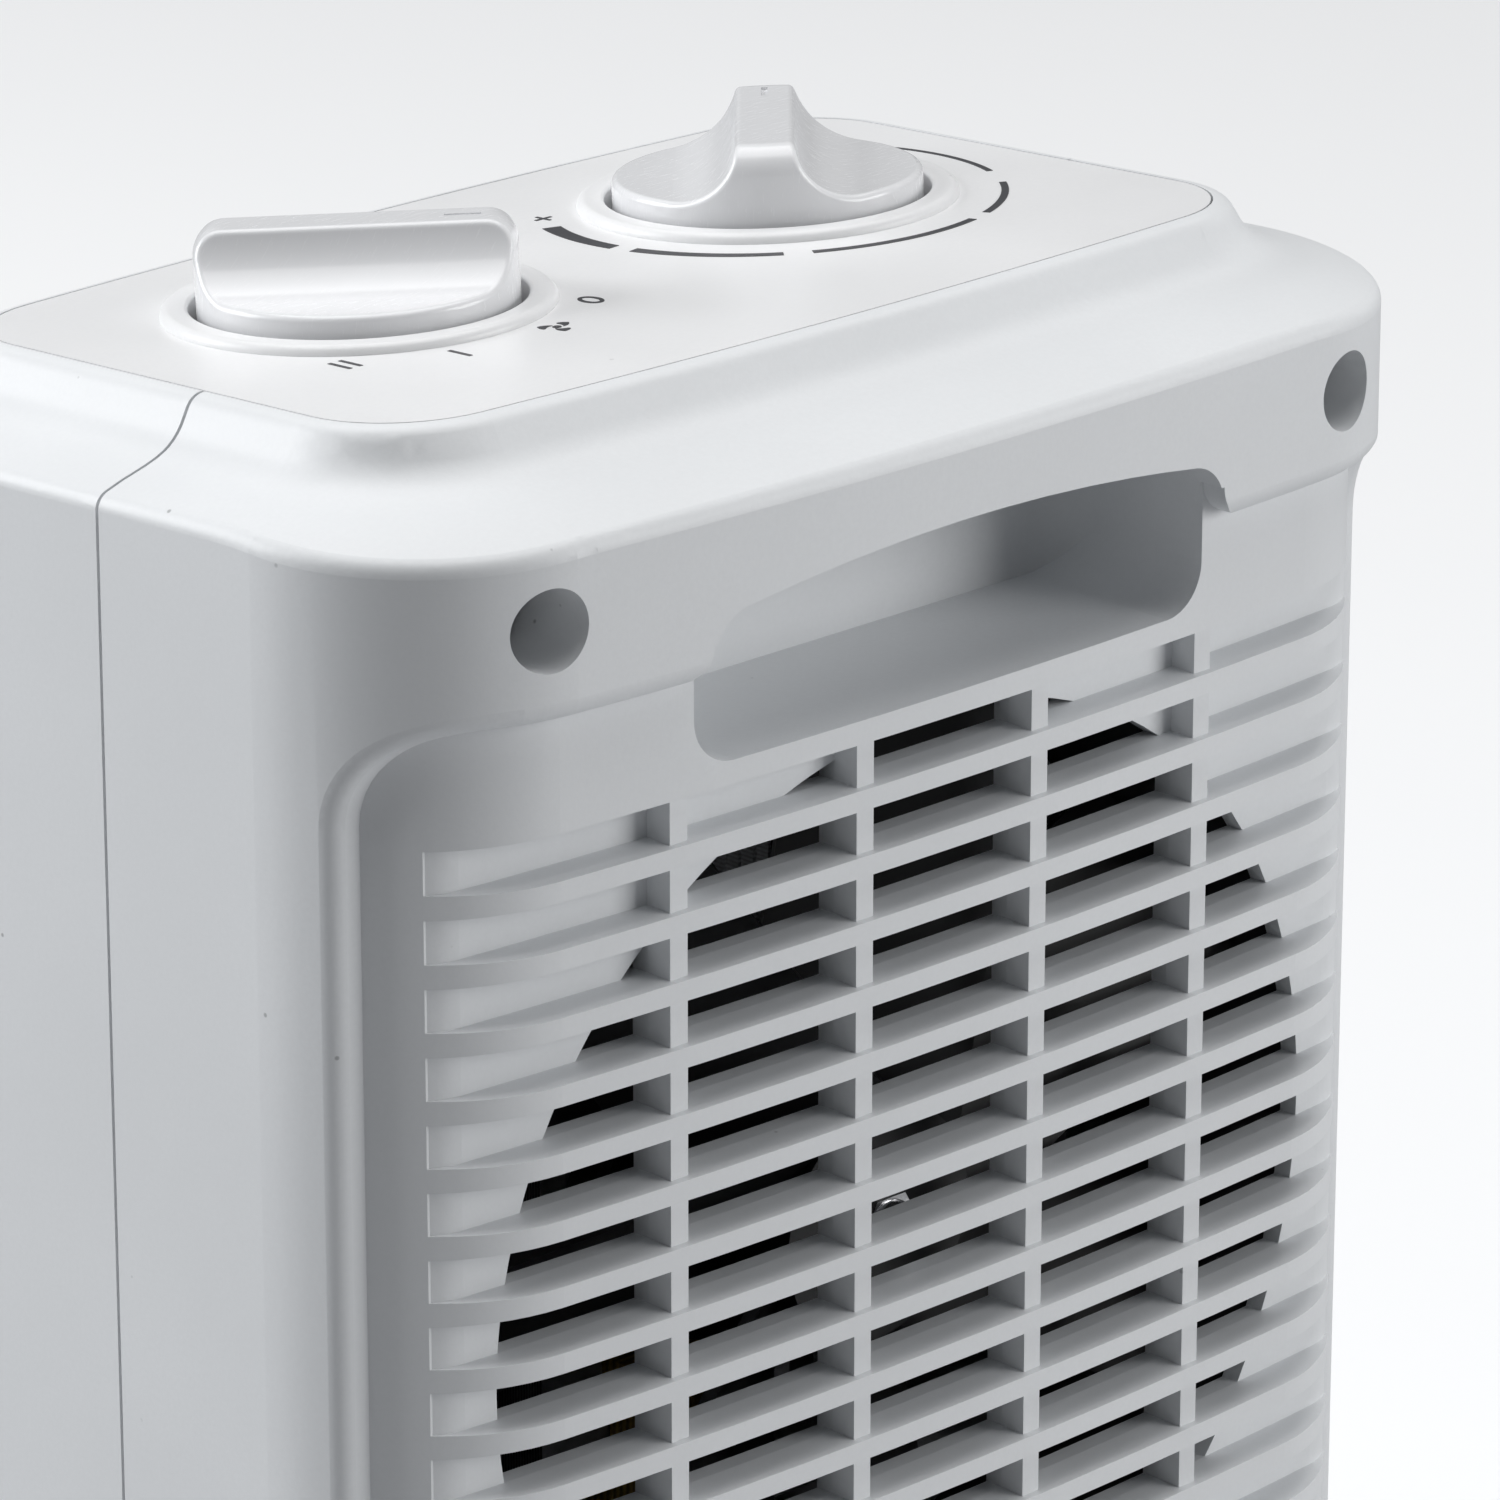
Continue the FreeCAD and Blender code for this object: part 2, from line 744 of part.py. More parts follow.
def case_screws():
    """Four identical pan-head screws that close the case from behind."""
    screws = []
    for x, z in screw_places():
        head = rod(size("screw_head"), COUNTERBORE_FLOOR, COUNTERBORE_FLOOR + size("screw_head_height"), x, z)
        crown_edges = [e for e in head.Edges if e.BoundBox.YMin > COUNTERBORE_FLOOR + 1]
        head = head.makeFillet(1.2, crown_edges)
        shank = rod(size("screw_shank"), COUNTERBORE_FLOOR - size("screw_length"), COUNTERBORE_FLOOR, x, z)
        screw = head.fuse(shank)
        for angle in (0, 90):
            slot = slab(COUNTERBORE_FLOOR + 1.2, COUNTERBORE_FLOOR + 5, -0.45, 0.45, 2.2)
            slot.rotate(V(), Y_AXIS, angle)
            slot.translate(V(x, 0, z))
            screw = screw.cut(slot)
        screws.append(screw)
    return Part.makeCompound(screws)


# ---------------------------------------------------------------- top: plate and knobs


def control_plate():
    """Smooth plate set into the rim, with a raised collar round each knob."""
    thick = size("control_thick")
    plate = Part.Face(rim_outline(-size("plate_inset"), -thick)).extrude(V(0, 0, thick))
    rise = size("collar_height")
    for side in (-1, 1):
        centre = V(side * size("knob_half_span"), 0, -thick / 2)
        collar = Part.makeCylinder(size("knob_hole") + size("collar_width"), thick / 2 + rise, centre)
        collar = collar.makeFillet(rise * 0.9, [e for e in collar.Edges if e.BoundBox.ZMin > rise - 0.01])
        plate = plate.fuse(collar)
    for side in (-1, 1):
        centre = V(side * size("knob_half_span"), 0, -thick * 2)
        plate = plate.cut(Part.makeCylinder(size("knob_hole"), thick * 4, centre))
    lips = [
        edge
        for edge in plate.Edges
        if edge.BoundBox.ZMin > rise - 0.3 and abs(edge.BoundBox.XLength - 2 * size("knob_hole")) < 0.1
    ]
    return plate.makeFillet(0.5, lips).removeSplitter()


def origin_item(body, role):
    """One of a body's own origin planes or axes."""
    return next(item for item in body.Origin.OriginFeatures if item.Role == role)


def sketch_on(body, role, name):
    """Empty sketch attached to one of the body's origin planes."""
    sketch = body.newObject("Sketcher::SketchObject", name)
    sketch.AttachmentSupport = [(origin_item(body, role), "")]
    sketch.MapMode = "FlatFace"
    return sketch


def knob_body(name, side, angle_cell):
    """Grip knob: a short drum with two finger scoops that leave a ridge across the middle."""
    body = doc.addObject("PartDesign::Body", name + "_body")
    drum = sketch_on(body, "XY_Plane", name + "_drum")
    drum.addGeometry(Part.Circle(V(), Z_AXIS, size("knob_radius")), False)
    drum.addConstraint(Sketcher.Constraint("Coincident", 0, 3, -1, 1))
    radius = drum.addConstraint(Sketcher.Constraint("Radius", 0, size("knob_radius")))
    drum.setExpression("Constraints[%d]" % radius, cell("knob_radius"))
    pad = body.newObject("PartDesign::Pad", name + "_pad")
    pad.Profile = drum
    pad.setExpression("Length", cell("knob_top + knob_sink"))
    drum.setExpression(".AttachmentOffset.Base.z", cell("0 - knob_sink"))
    doc.recompute()
    top_edge = edge_name(pad, lambda e: e.BoundBox.ZMin > size("knob_top") - 0.01)
    soft = body.newObject("PartDesign::Fillet", name + "_ends")
    soft.Base = (pad, [top_edge])
    soft.setExpression("Radius", cell("knob_ends"))
    doc.recompute()
    scoop = knob_scoop(body, name, soft)
    mirror = body.newObject("PartDesign::Mirrored", name + "_scoops")
    mirror.Originals = [scoop]
    mirror.MirrorPlane = (origin_item(body, "YZ_Plane"), [""])
    body.Tip = mirror
    doc.recompute()
    rims = [
        "Edge%d" % (index + 1)
        for index, edge in enumerate(mirror.Shape.Edges)
        if edge.BoundBox.ZMin > size("knob_rim") - 1.2 and is_scoop_rim(mirror.Shape, edge)
    ]
    glossy = body.newObject("PartDesign::Fillet", name + "_rims")
    glossy.Base = (mirror, rims)
    glossy.setExpression("Radius", cell("knob_rounding"))
    doc.recompute()
    return finish_knob(body, name, side, angle_cell, glossy)


def edge_name(feature_object, wanted):
    """Name of the first edge of a feature that passes a test."""
    for index, edge in enumerate(feature_object.Shape.Edges):
        if wanted(edge):
            return "Edge%d" % (index + 1)
    raise ValueError("edge not found")


def is_scoop_rim(shape, edge):
    """True for an edge between a finger scoop and the drum or its rounded top."""
    faces = [face for face in shape.Faces if any(edge.isSame(other) for other in face.Edges)]
    if len(faces) != 2:
        return False
    along = [face for face in faces if scoop_face(face)]
    return len(along) == 1


def scoop_face(face):
    """True for a face swept parallel to the ridge."""
    surface = face.Surface
    if type(surface) is Part.Cylinder:
        return abs(surface.Axis.y) > 0.99
    level = abs(face.BoundBox.ZMax - size("knob_rim")) < 0.01 or face.BoundBox.ZLength > 0.1
    return type(surface) is Part.Plane and abs(surface.Axis.y) < 0.01 and level


def knob_scoop(body, name, base):
    """Pocket along the ridge: a leaning flank that rolls through an arc into a level floor."""
    scoop = sketch_on(body, "XZ_Plane", name + "_scoop_outline")
    ridge = size("knob_ridge") / 2
    top = size("knob_top")
    rim = size("knob_rim")
    radius = size("knob_scoop")
    lean = math.radians(size("knob_lean"))
    outer = size("knob_radius") + 3
    over = top + 1.0
    centre_z = rim + radius
    centre_x = ridge + (radius - (centre_z - top) * math.sin(lean)) / math.cos(lean)
    middle = (math.pi + lean + 1.5 * math.pi) / 2
    high = V(ridge - (over - top) * math.tan(lean), over, 0)
    foot = V(centre_x - radius * math.cos(lean), centre_z - radius * math.sin(lean), 0)
    bend = V(centre_x + radius * math.cos(middle), centre_z + radius * math.sin(middle), 0)
    flat = V(centre_x, rim, 0)
    edge_out = V(outer, rim, 0)
    corner = V(outer, over, 0)
    scoop.addGeometry(Part.LineSegment(high, foot), False)
    scoop.addGeometry(Part.Arc(foot, bend, flat), False)
    scoop.addGeometry(Part.LineSegment(flat, edge_out), False)
    scoop.addGeometry(Part.LineSegment(edge_out, corner), False)
    scoop.addGeometry(Part.LineSegment(corner, high), False)
    pocket = body.newObject("PartDesign::Pocket", name + "_scoop")
    pocket.Profile = scoop
    pocket.Type = "ThroughAll"
    pocket.Midplane = True
    doc.recompute()
    if pocket.Shape.Volume >= base.Shape.Volume:
        raise ValueError("scoop cut nothing")
    return pocket


def finish_knob(body, name, side, angle_cell, base):
    """Hollow underside and the round shaft bore."""
    hollow = sketch_on(body, "XY_Plane", name + "_hollow_ring")
    hollow.addGeometry(Part.Circle(V(), Z_AXIS, size("knob_radius") - size("knob_wall")), False)
    hollow.addGeometry(Part.Circle(V(), Z_AXIS, size("knob_shaft") + size("knob_wall")), False)
    for index, text in ((0, "knob_radius - knob_wall"), (1, "knob_shaft + knob_wall")):
        hollow.addConstraint(Sketcher.Constraint("Coincident", index, 3, -1, 1))
        ring = hollow.addConstraint(Sketcher.Constraint("Radius", index, size("knob_radius") - index * 5))
        hollow.setExpression("Constraints[%d]" % ring, cell(text))
    hollow.setExpression(".AttachmentOffset.Base.z", cell("0 - knob_sink"))
    under = body.newObject("PartDesign::Pocket", name + "_hollow")
    under.Profile = hollow
    under.Reversed = True
    under.setExpression("Length", cell("knob_sink + knob_rim - knob_wall - 1"))
    doc.recompute()
    bore = sketch_on(body, "XY_Plane", name + "_bore_circle")
    bore.addGeometry(Part.Circle(V(), Z_AXIS, size("knob_shaft")), False)
    bore.addConstraint(Sketcher.Constraint("Coincident", 0, 3, -1, 1))
    ring = bore.addConstraint(Sketcher.Constraint("Radius", 0, size("knob_shaft")))
    bore.setExpression("Constraints[%d]" % ring, cell("knob_shaft"))
    bore.setExpression(".AttachmentOffset.Base.z", cell("0 - knob_sink"))
    hole = body.newObject("PartDesign::Pocket", name + "_bore")
    hole.Profile = bore
    hole.Reversed = True
    hole.setExpression("Length", cell("knob_sink + knob_top - knob_wall"))
    doc.recompute()
    if not hole.Shape.Volume < under.Shape.Volume < base.Shape.Volume:
        raise ValueError("knob underside cut nothing")
    knob_pointer(body, name, hole)
    heading = FreeCAD.Rotation(Z_AXIS, size(angle_cell))
    body.Placement = FreeCAD.Placement(V(), TOP_PLANE.Rotation.multiply(heading))
    on_top_place(body)
    body.setExpression(".Placement.Base.x", cell(across(side)))
    return node(body, name)


def knob_pointer(body, name, base):
    """Short groove in the ridge's top that marks the pointing end."""
    mark = sketch_on(body, "XY_Plane", name + "_pointer_outline")
    half = size("pointer_width") / 2
    near = size("pointer_start")
    far = near + size("pointer_length")
    corners = [V(-half, near, 0), V(half, near, 0), V(half, far, 0), V(-half, far, 0)]
    for start, end in zip(corners, corners[1:] + corners[:1]):
        mark.addGeometry(Part.LineSegment(start, end), False)
    mark.setExpression(".AttachmentOffset.Base.z", cell("knob_top"))
    groove = body.newObject("PartDesign::Pocket", name + "_pointer")
    groove.Profile = mark
    groove.setExpression("Length", cell("pointer_depth"))
    doc.recompute()
    if groove.Shape.Volume >= base.Shape.Volume:
        raise ValueError("knob pointer cut nothing")


def on_top_place(obj):
    """Binds an object's height and depth to the origin of the sloping top."""
    obj.setExpression(".Placement.Base.y", cell("body_depth / 2 - knob_setback"))
    obj.setExpression(".Placement.Base.z", cell("top_height"))
    return obj


def on_top(obj):
    """Places an object, built in the top's local frame, on the sloping top."""
    obj.Placement = FreeCAD.Placement(V(), TOP_PLANE.Rotation)
    return on_top_place(obj)


def across(side):
    """Expression for a knob's place across the width."""
    return "%d * knob_half_span" % side


def knob_spindle(name, side):
    """Round spindle from inside the switch up into the knob's bore."""
    base = "0 - switch_drop - shaft_reach"
    height = "switch_drop + shaft_reach + knob_top - knob_wall - fit_gap"
    return node(on_top(group(cylinder("knob_shaft", height, across(side), "0", base))), name)


def switch_bracket():
    """Pressed plate under the top that carries both switches on four posts."""
    half = "(knob_half_span + knob_hole + bracket_overhang)"
    rear = "0 - bracket_width + bracket_fore"
    strip = box("2 * " + half, "bracket_width", "bracket_thick", "0 - " + half, rear, "0 - switch_drop")
    posts = []
    for side in (-1, 1):
        for y in (rear + " + bracket_post + 1", "bracket_fore - bracket_post"):
            x = "%d * (%s - bracket_post_inset)" % (side, half)
            height = "switch_drop - control_thick - wall"
            posts.append(cylinder("bracket_post", height, x, y, "0 - switch_drop"))
    opening = "knob_shaft + neck_wall + fit_gap"
    holes = [cylinder(opening, "10", across(side), "0", "0 - switch_drop - 5") for side in (-1, 1)]
    return node(on_top(cut(fuse(strip, *posts), *holes)), "switch_bracket")


def switch_neck(side):
    """Threaded neck round a spindle, up through the bracket, and the bore the spindle turns in."""
    drop = "0 - switch_drop"
    neck = cylinder("knob_shaft + neck_wall", "bracket_thick + neck_proud", across(side), "0", drop)
    bore = cylinder("knob_shaft + running_gap", "40", across(side), "0", drop + " - shaft_reach")
    return neck, bore


def rotary_switch():
    """Function switch: square case, threaded neck through the bracket, solder tags below."""
    half = "switch_side / 2"
    floor = "0 - switch_drop - switch_depth"
    case = box("switch_side", "switch_side", "switch_depth", across(1) + " - " + half, "0 - " + half, floor)
    neck, bore = switch_neck(1)
    tag_foot = floor + " - tag_length + 1"
    tags = [
        box("4.8", "0.8", "tag_length", across(1) + " - 2.4 + %d" % dx, "%d" % dy, tag_foot)
        for dx in (-7, 7)
        for dy in (-8, 8)
    ]
    return node(on_top(cut(fuse(case, neck, *tags), bore)), "rotary_switch")


def thermostat_base():
    """Thermostat: ceramic base with a threaded neck and two tags."""
    length = "thermostat_length"
    width = "thermostat_width"
    floor = "0 - switch_drop - thermostat_depth"
    x = across(-1) + " - " + length + " / 2"
    base = box(length, width, "thermostat_depth", x, "0 - " + width + " / 2", floor)
    neck, bore = switch_neck(-1)
    tags = [
        box("0.8", "6.3", "tag_length + 2", across(-1) + " + %d" % dx, "0 - 3", floor + " - tag_length - 1")
        for dx in (-14, 13)
    ]
    return node(on_top(cut(fuse(base, neck, *tags), bore)), "thermostat_base")


def bimetal_strip():
    """Bimetal blade beside the thermostat base, held by a rivet."""
    y = "0 - thermostat_width / 2 - 2.6"
    floor = "0 - switch_drop - thermostat_depth"
    blade = box("thermostat_length", "0.6", "6", across(-1) + " - thermostat_length / 2", y, floor + " + 3")
    rivet = cylinder("1.6", "2.6", across(-1) + " + 13", y, floor + " + 6", axis="y")
    return node(on_top(fuse(blade, rivet)), "bimetal_strip")


# ---------------------------------------------------------------- outlet grille


def rounded(block, radius):
    """Part::Fillet on a block's four edges along Y."""
    doc.recompute()
    obj = doc.addObject("Part::Fillet", "Rounded")
    obj.Base = block
    picked = []
    for index, edge in enumerate(block.Shape.Edges, start=1):
        direction = edge.tangentAt(edge.FirstParameter)
        if abs(direction.y) > 0.99:
            picked.append((index, radius, radius))
    obj.Edges = picked
    return obj


OUTLET_FRONT = "(wall + outlet_recess + fit_gap - body_depth / 2)"


def outlet_grille():
    """Insert clipped behind the front window: flange, raised field, level bars and upright ribs."""
    rim_x = "(outlet_half_width + outlet_flange)"
    flange = box(
        "2 * " + rim_x,
        "outlet_thick",
        "outlet_top - outlet_bottom + 2 * outlet_flange",
        "0 - " + rim_x,
        OUTLET_FRONT,
        "outlet_bottom - outlet_flange",
    )
    field = box(
        "2 * (outlet_half_width - outlet_gap)",
        "outlet_proud + outlet_thick / 4",
        "outlet_top - outlet_bottom - 2 * outlet_gap",
        "outlet_gap - outlet_half_width",
        OUTLET_FRONT + " - outlet_proud",
        "outlet_bottom + outlet_gap",
    )
    corner = size("outlet_corner") - size("outlet_gap")
    blank = fuse(rounded(flange, size("outlet_corner") + size("outlet_flange")), rounded(field, corner))
    first = "(outlet_bottom + outlet_top - (outlet_count - 1) * outlet_pitch - outlet_slot) / 2"
    slots = [
        box(
            "2 * (outlet_half_width - outlet_side)",
            "20",
            "outlet_slot",
            "outlet_side - outlet_half_width",
            OUTLET_FRONT + " - 10",
            first + " + %d * outlet_pitch" % index,
        )
        for index in range(int(size("outlet_count")))
    ]
    ribs = [
        box(
            "outlet_rib",
            "outlet_thick",
            "outlet_top - outlet_bottom - 2 * outlet_flange",
            "%d * outlet_rib_step - outlet_rib / 2" % place,
            OUTLET_FRONT,
            "outlet_bottom + outlet_flange",
        )
        for place in (-1, 0, 1)
    ]
    return node(fuse(cut(blank, *slots), *ribs), "outlet_grille")


# ---------------------------------------------------------------- fan, motor and duct


def fan_shroud():
    """Round duct behind the intake plate with its base plate, motor disc and three arms."""
    inner = size("fan_opening") + size("shroud_clear")
    outer = inner + size("shroud_wall")
    thick = size("shroud_plate")
    front = SHROUD_FOOT - thick
    plate = slab(front, SHROUD_FOOT, FAN_Z - outer - 3, FAN_Z + outer - 1, size("shroud_half_width"))
    duct = rod(outer, front, SHROUD_MOUTH, 0, FAN_Z).fuse(plate)
    duct = duct.cut(rod(inner, front - 1, SHROUD_MOUTH + 1, 0, FAN_Z))
    disc = size("stack_side") / 2 + 1
    duct = duct.fuse(rod(disc, front, SHROUD_FOOT, 0, FAN_Z))
    for angle in (90, 210, 330):
        arm = Part.makeBox(inner + 1, 2 * thick, 8, V(0, front, FAN_Z - 4))
        arm.rotate(V(0, 0, FAN_Z), Y_AXIS, angle)
        duct = duct.fuse(arm)
    across_stack = size("stack_side") / 2 - size("motor_screw_inset")
    boss_front = front - size("bush_length") + size("bracket_plate")
    for side in (-1, 1):
        duct = duct.fuse(rod(size("motor_boss"), boss_front, SHROUD_FOOT, side * across_stack, FAN_Z))
    for side in (-1, 1):
        duct = duct.cut(rod(size("motor_screw"), boss_front - 1, SHROUD_FOOT, side * across_stack, FAN_Z))
    duct = duct.cut(rod(size("bush_radius") + size("fit_gap"), -CROWN, CROWN, 0, FAN_Z))
    beyond = [(SHROUD_MOUTH, 0), (CROWN, 0), (CROWN, TOP), (SHROUD_MOUTH, TOP)]
    room = pocket_form(size("pocket_wall") + size("fit_gap"), POCKET_BACK - 2 * size("pocket_wall"))
    return feature("fan_shroud", duct.cut(bow_ring(beyond)).cut(room))


def impeller():
    """Axial fan wheel: hub with pitched blades set round it."""
    body = doc.addObject("PartDesign::Body", "impeller_body")
    hub = sketch_on(body, "XZ_Plane", "impeller_hub")
    hub.addGeometry(Part.Circle(V(), Z_AXIS, size("hub_radius")), False)
    hub.addConstraint(Sketcher.Constraint("Coincident", 0, 3, -1, 1))
    ring = hub.addConstraint(Sketcher.Constraint("Radius", 0, size("hub_radius")))
    hub.setExpression("Constraints[%d]" % ring, cell("hub_radius"))
    drum = body.newObject("PartDesign::Pad", "impeller_drum")
    drum.Profile = hub
    drum.setExpression("Length", cell("impeller_depth"))
    outline_sketch = sketch_on(body, "YZ_Plane", "impeller_blade")
    pitch = math.radians(size("blade_pitch"))
    half_chord = (size("impeller_depth") - 2.0) / 2 / math.sin(pitch)
    half_thick = size("blade_thick") / 2
    middle = -size("impeller_depth") / 2
    corners = []
    for along, over in ((-1, -1), (1, -1), (1, 1), (-1, 1)):
        axial = along * half_chord * math.sin(pitch) + over * half_thick * math.cos(pitch)
        round_way = along * half_chord * math.cos(pitch) - over * half_thick * math.sin(pitch)
        corners.append(V(middle + axial, round_way, 0))
    for start, end in zip(corners, corners[1:] + corners[:1]):
        outline_sketch.addGeometry(Part.LineSegment(start, end), False)
    outline_sketch.setExpression(".AttachmentOffset.Base.z", cell("hub_radius - 6"))
    blade = body.newObject("PartDesign::Pad", "impeller_blade_pad")
    blade.Profile = outline_sketch
    blade.setExpression("Length", cell("impeller_radius - hub_radius + 6"))
    doc.recompute()
    ring_of = body.newObject("PartDesign::PolarPattern", "impeller_blades")
    ring_of.Originals = [blade]
    ring_of.Axis = (origin_item(body, "Y_Axis"), [""])
    ring_of.Angle = 360
    ring_of.Occurrences = int(size("blade_count"))
    body.Tip = ring_of
    doc.recompute()
    bore = sketch_on(body, "XZ_Plane", "impeller_bore")
    bore.addGeometry(Part.Circle(V(), Z_AXIS, size("motor_shaft")), False)
    bore.addConstraint(Sketcher.Constraint("Coincident", 0, 3, -1, 1))
    ring = bore.addConstraint(Sketcher.Constraint("Radius", 0, size("motor_shaft")))
    bore.setExpression("Constraints[%d]" % ring, cell("motor_shaft"))
    hole = body.newObject("PartDesign::Pocket", "impeller_hole")
    hole.Profile = bore
    hole.Type = "ThroughAll"
    hole.Midplane = True
    doc.recompute()
    if hole.Shape.Volume >= ring_of.Shape.Volume:
        raise ValueError("impeller bore cut nothing")
    bind(body, at_y="hub_back", at_z="fan_height")
    return node(body, "fan_impeller")


def fan_nut():
    """Domed hub nut with a hexagonal collar."""
    height = size("nut_height")
    points = []
    for index in range(7):
        angle = math.radians(60 * index)
        points.append(V(size("nut_radius") * math.cos(angle), 0, size("nut_radius") * math.sin(angle)))
    collar = Part.Face(Part.makePolygon(points)).extrude(V(0, height * 0.6, 0))
    dome = Part.makeSphere(size("nut_radius") * 0.78, V(0, height * 0.55, 0), Y_AXIS, 0, 90, 360)
    bore = rod(size("motor_shaft"), -1, height * 0.75, 0, 0)
    nut = collar.fuse(dome).cut(bore)
    nut.translate(V(0, size("hub_back"), FAN_Z))
    return feature("fan_nut", nut.removeSplitter())


SHROUD_FRONT = (
    "(body_depth / 2 - recess_depth - slot_depth - plate_thick - shroud_clear - shroud_length - shroud_plate)"
)
STACK_BACK = "(" + SHROUD_FRONT + " - bush_length - bracket_step)"
STACK_FRONT = "(" + STACK_BACK + " - stack_thick)"
SCREW_ACROSS = "(stack_side / 2 - motor_screw_inset)"


def motor_shaft():
    """Motor shaft from just past the front bush to inside the nut."""
    start = "(" + STACK_FRONT + " - bracket_step - bush_length - 1)"
    length = "hub_back + nut_height * 0.75 - running_gap - " + start
    return node(group(cylinder("motor_shaft", length, "0", start, "fan_height", axis="y")), "motor_shaft")


def motor_rotor():
    """Squirrel-cage rotor core with end rings."""
    core = cylinder("rotor_radius", "stack_thick", "0", STACK_FRONT, "fan_height", axis="y")
    rings = [
        cylinder("rotor_radius - 1", "1.2", "0", y, "fan_height", axis="y")
        for y in (STACK_FRONT + " - 1.2", STACK_BACK)
    ]
    bore = cylinder("motor_shaft", "60", "0", STACK_FRONT + " - 20", "fan_height", axis="y")
    return node(cut(fuse(core, *rings), bore), "motor_rotor")


def screw_ways():
    """The two holes for the long motor screws, through the stack and both brackets."""
    return [
        cylinder("motor_screw", "80", "%d * %s" % (side, SCREW_ACROSS), "0 - 40", "fan_height", axis="y")
        for side in (-1, 1)
    ]


def motor_stator():
    """Laminated stack round the rotor, with the leg that carries the coil below."""
    through = "stack_thick + 2"
    before = STACK_FRONT + " - 1"
    foot = "stack_leg + stack_window"
    bottom = "fan_height - stack_side / 2 - "
    stack = box("stack_side", "stack_thick", "stack_side + " + foot, "0 - stack_side / 2", STACK_FRONT,
                bottom + "(" + foot + ")")
    window = box("stack_side - 2 * stack_cheek", through, "stack_window", "stack_cheek - stack_side / 2",
                 before, bottom + "stack_window")
    bore = cylinder("rotor_radius + rotor_air_gap", through, "0", before, "fan_height", axis="y")
    return node(cut(stack, window, bore, *screw_ways()), "motor_stator")


def motor_coil():
    """Wound coil on its bobbin round the stack's lower leg."""
    wide = "(stack_side - 2 * stack_cheek - 2)"
    leg = "fan_height - stack_side / 2 - stack_leg - stack_window"
    outer = box(wide, "stack_thick + 3 * coil_build", "coil_height", "0 - " + wide + " / 2",
                STACK_FRONT + " - 1.5 * coil_build", leg + " - coil_build")
    core = box(wide + " + 2", "stack_thick + 2 * fit_gap", "stack_leg + 2 * fit_gap",
               "0 - " + wide + " / 2 - 1", STACK_FRONT + " - fit_gap", leg + " - fit_gap")
    return node(cut(outer, core), "motor_coil")


def motor_bracket(name, plate_y, strap_y, cup_y):
    """Strap across one face of the stack, on two pads, with a cup for the shaft's bush."""
    strap = box("stack_side", "bracket_plate", "motor_strap", "0 - stack_side / 2", strap_y,
                "fan_height - motor_strap / 2")
    pads = [
        box("6", "bracket_step + bracket_plate", "motor_strap", x, plate_y, "fan_height - motor_strap / 2")
        for x in ("0 - stack_side / 2", "stack_side / 2 - 6")
    ]
    cup = cylinder("bush_radius + bracket_plate", "bush_length", "0", cup_y, "fan_height", axis="y")
    bore = cylinder("bush_radius", "80", "0", "0 - 40", "fan_height", axis="y")
    return node(cut(fuse(strap, cup, *pads), bore, *screw_ways()), name)


def motor_bush(name, start):
    """Sintered sleeve that carries the shaft."""
    sleeve = cylinder("bush_radius", "bush_length", "0", start, "fan_height", axis="y")
    bore = cylinder("motor_shaft + running_gap", "80", "0", "0 - 40", "fan_height", axis="y")
    return node(cut(sleeve, bore), name)


def motor_screws():
    """Two long screws from the front bracket through the stack into the shroud's bosses."""
    start = STACK_FRONT + " - bracket_step - bracket_plate"
    reach = "stack_thick + 2 * (bracket_step + bracket_plate) + bush_length - bracket_plate"
    screws = []
    for side in (-1, 1):
        x = "%d * %s" % (side, SCREW_ACROSS)
        shank = cylinder("motor_screw", reach, x, start, "fan_height", axis="y")
        head = cylinder("2 * motor_screw", "2", x, start + " - 2", "fan_height", axis="y")
        screws.append(fuse(shank, head))
    return node(group(*screws), "motor_screws")


def motor():
    """Every piece of the motor that stays still, and its rotor and shaft."""
    motor_shaft()
    motor_rotor()
    motor_stator()
    motor_coil()
    rear = STACK_BACK + " + bracket_step"
    fore = STACK_FRONT + " - bracket_step"
    motor_bracket("motor_rear_bracket", STACK_BACK, rear, rear)
    plate = fore + " - bracket_plate"
    motor_bracket("motor_front_bracket", plate, plate, fore + " - bush_length")
    motor_bush("rear_bush", rear)
    motor_bush("front_bush", fore + " - bush_length")
    motor_screws()


# ---------------------------------------------------------------- heating element


def element_box(depth_from, depth_length, grow):
    """Block around the heating element, grown on all four sides."""
    return box(
        "2 * (element_half_width + %s)" % grow,
        depth_length,
        "element_height + 2 * (%s)" % grow,
        "0 - element_half_width - (%s)" % grow,
        depth_from,
        "fan_height - element_height / 2 - (%s)" % grow,
    )


OUTLET_BACK = "(" + OUTLET_FRONT + " + outlet_thick)"


def element_frame():
    """Heat-proof frame that holds the heating element behind the outlet grille."""
    length = "element_front + element_depth + 2 - " + OUTLET_BACK
    outer = element_box(OUTLET_BACK, length, "element_border")
    hollow = element_box(OUTLET_BACK + " - 1", length + " + 2", "fit_gap")
    lips = []
    for z in ("fan_height - element_height / 2 - 1", "fan_height + element_height / 2 - 3"):
        lips.append(box("8", "2", "4", "0 - element_half_width - 1", "element_front + element_depth", z))
        lips.append(box("8", "2", "4", "element_half_width - 7", "element_front + element_depth", z))
    return node(fuse(cut(outer, hollow), *lips), "element_frame")


def heating_rods():
    """Ceramic heating rods between the fin packs."""
    rows = int(size("element_rows"))
    share = "(element_height - (element_rows - 1) * rod_height) / element_rows"
    rods = []
    for index in range(rows - 1):
        z = "fan_height - element_height / 2 + %d * (%s) + %d * rod_height" % (index + 1, share, index)
        rods.append(
            box("2 * element_half_width", "element_depth - 3", "rod_height", "0 - element_half_width",
                "element_front + 1.5", z)
        )
    return node(group(*rods), "heating_rods")


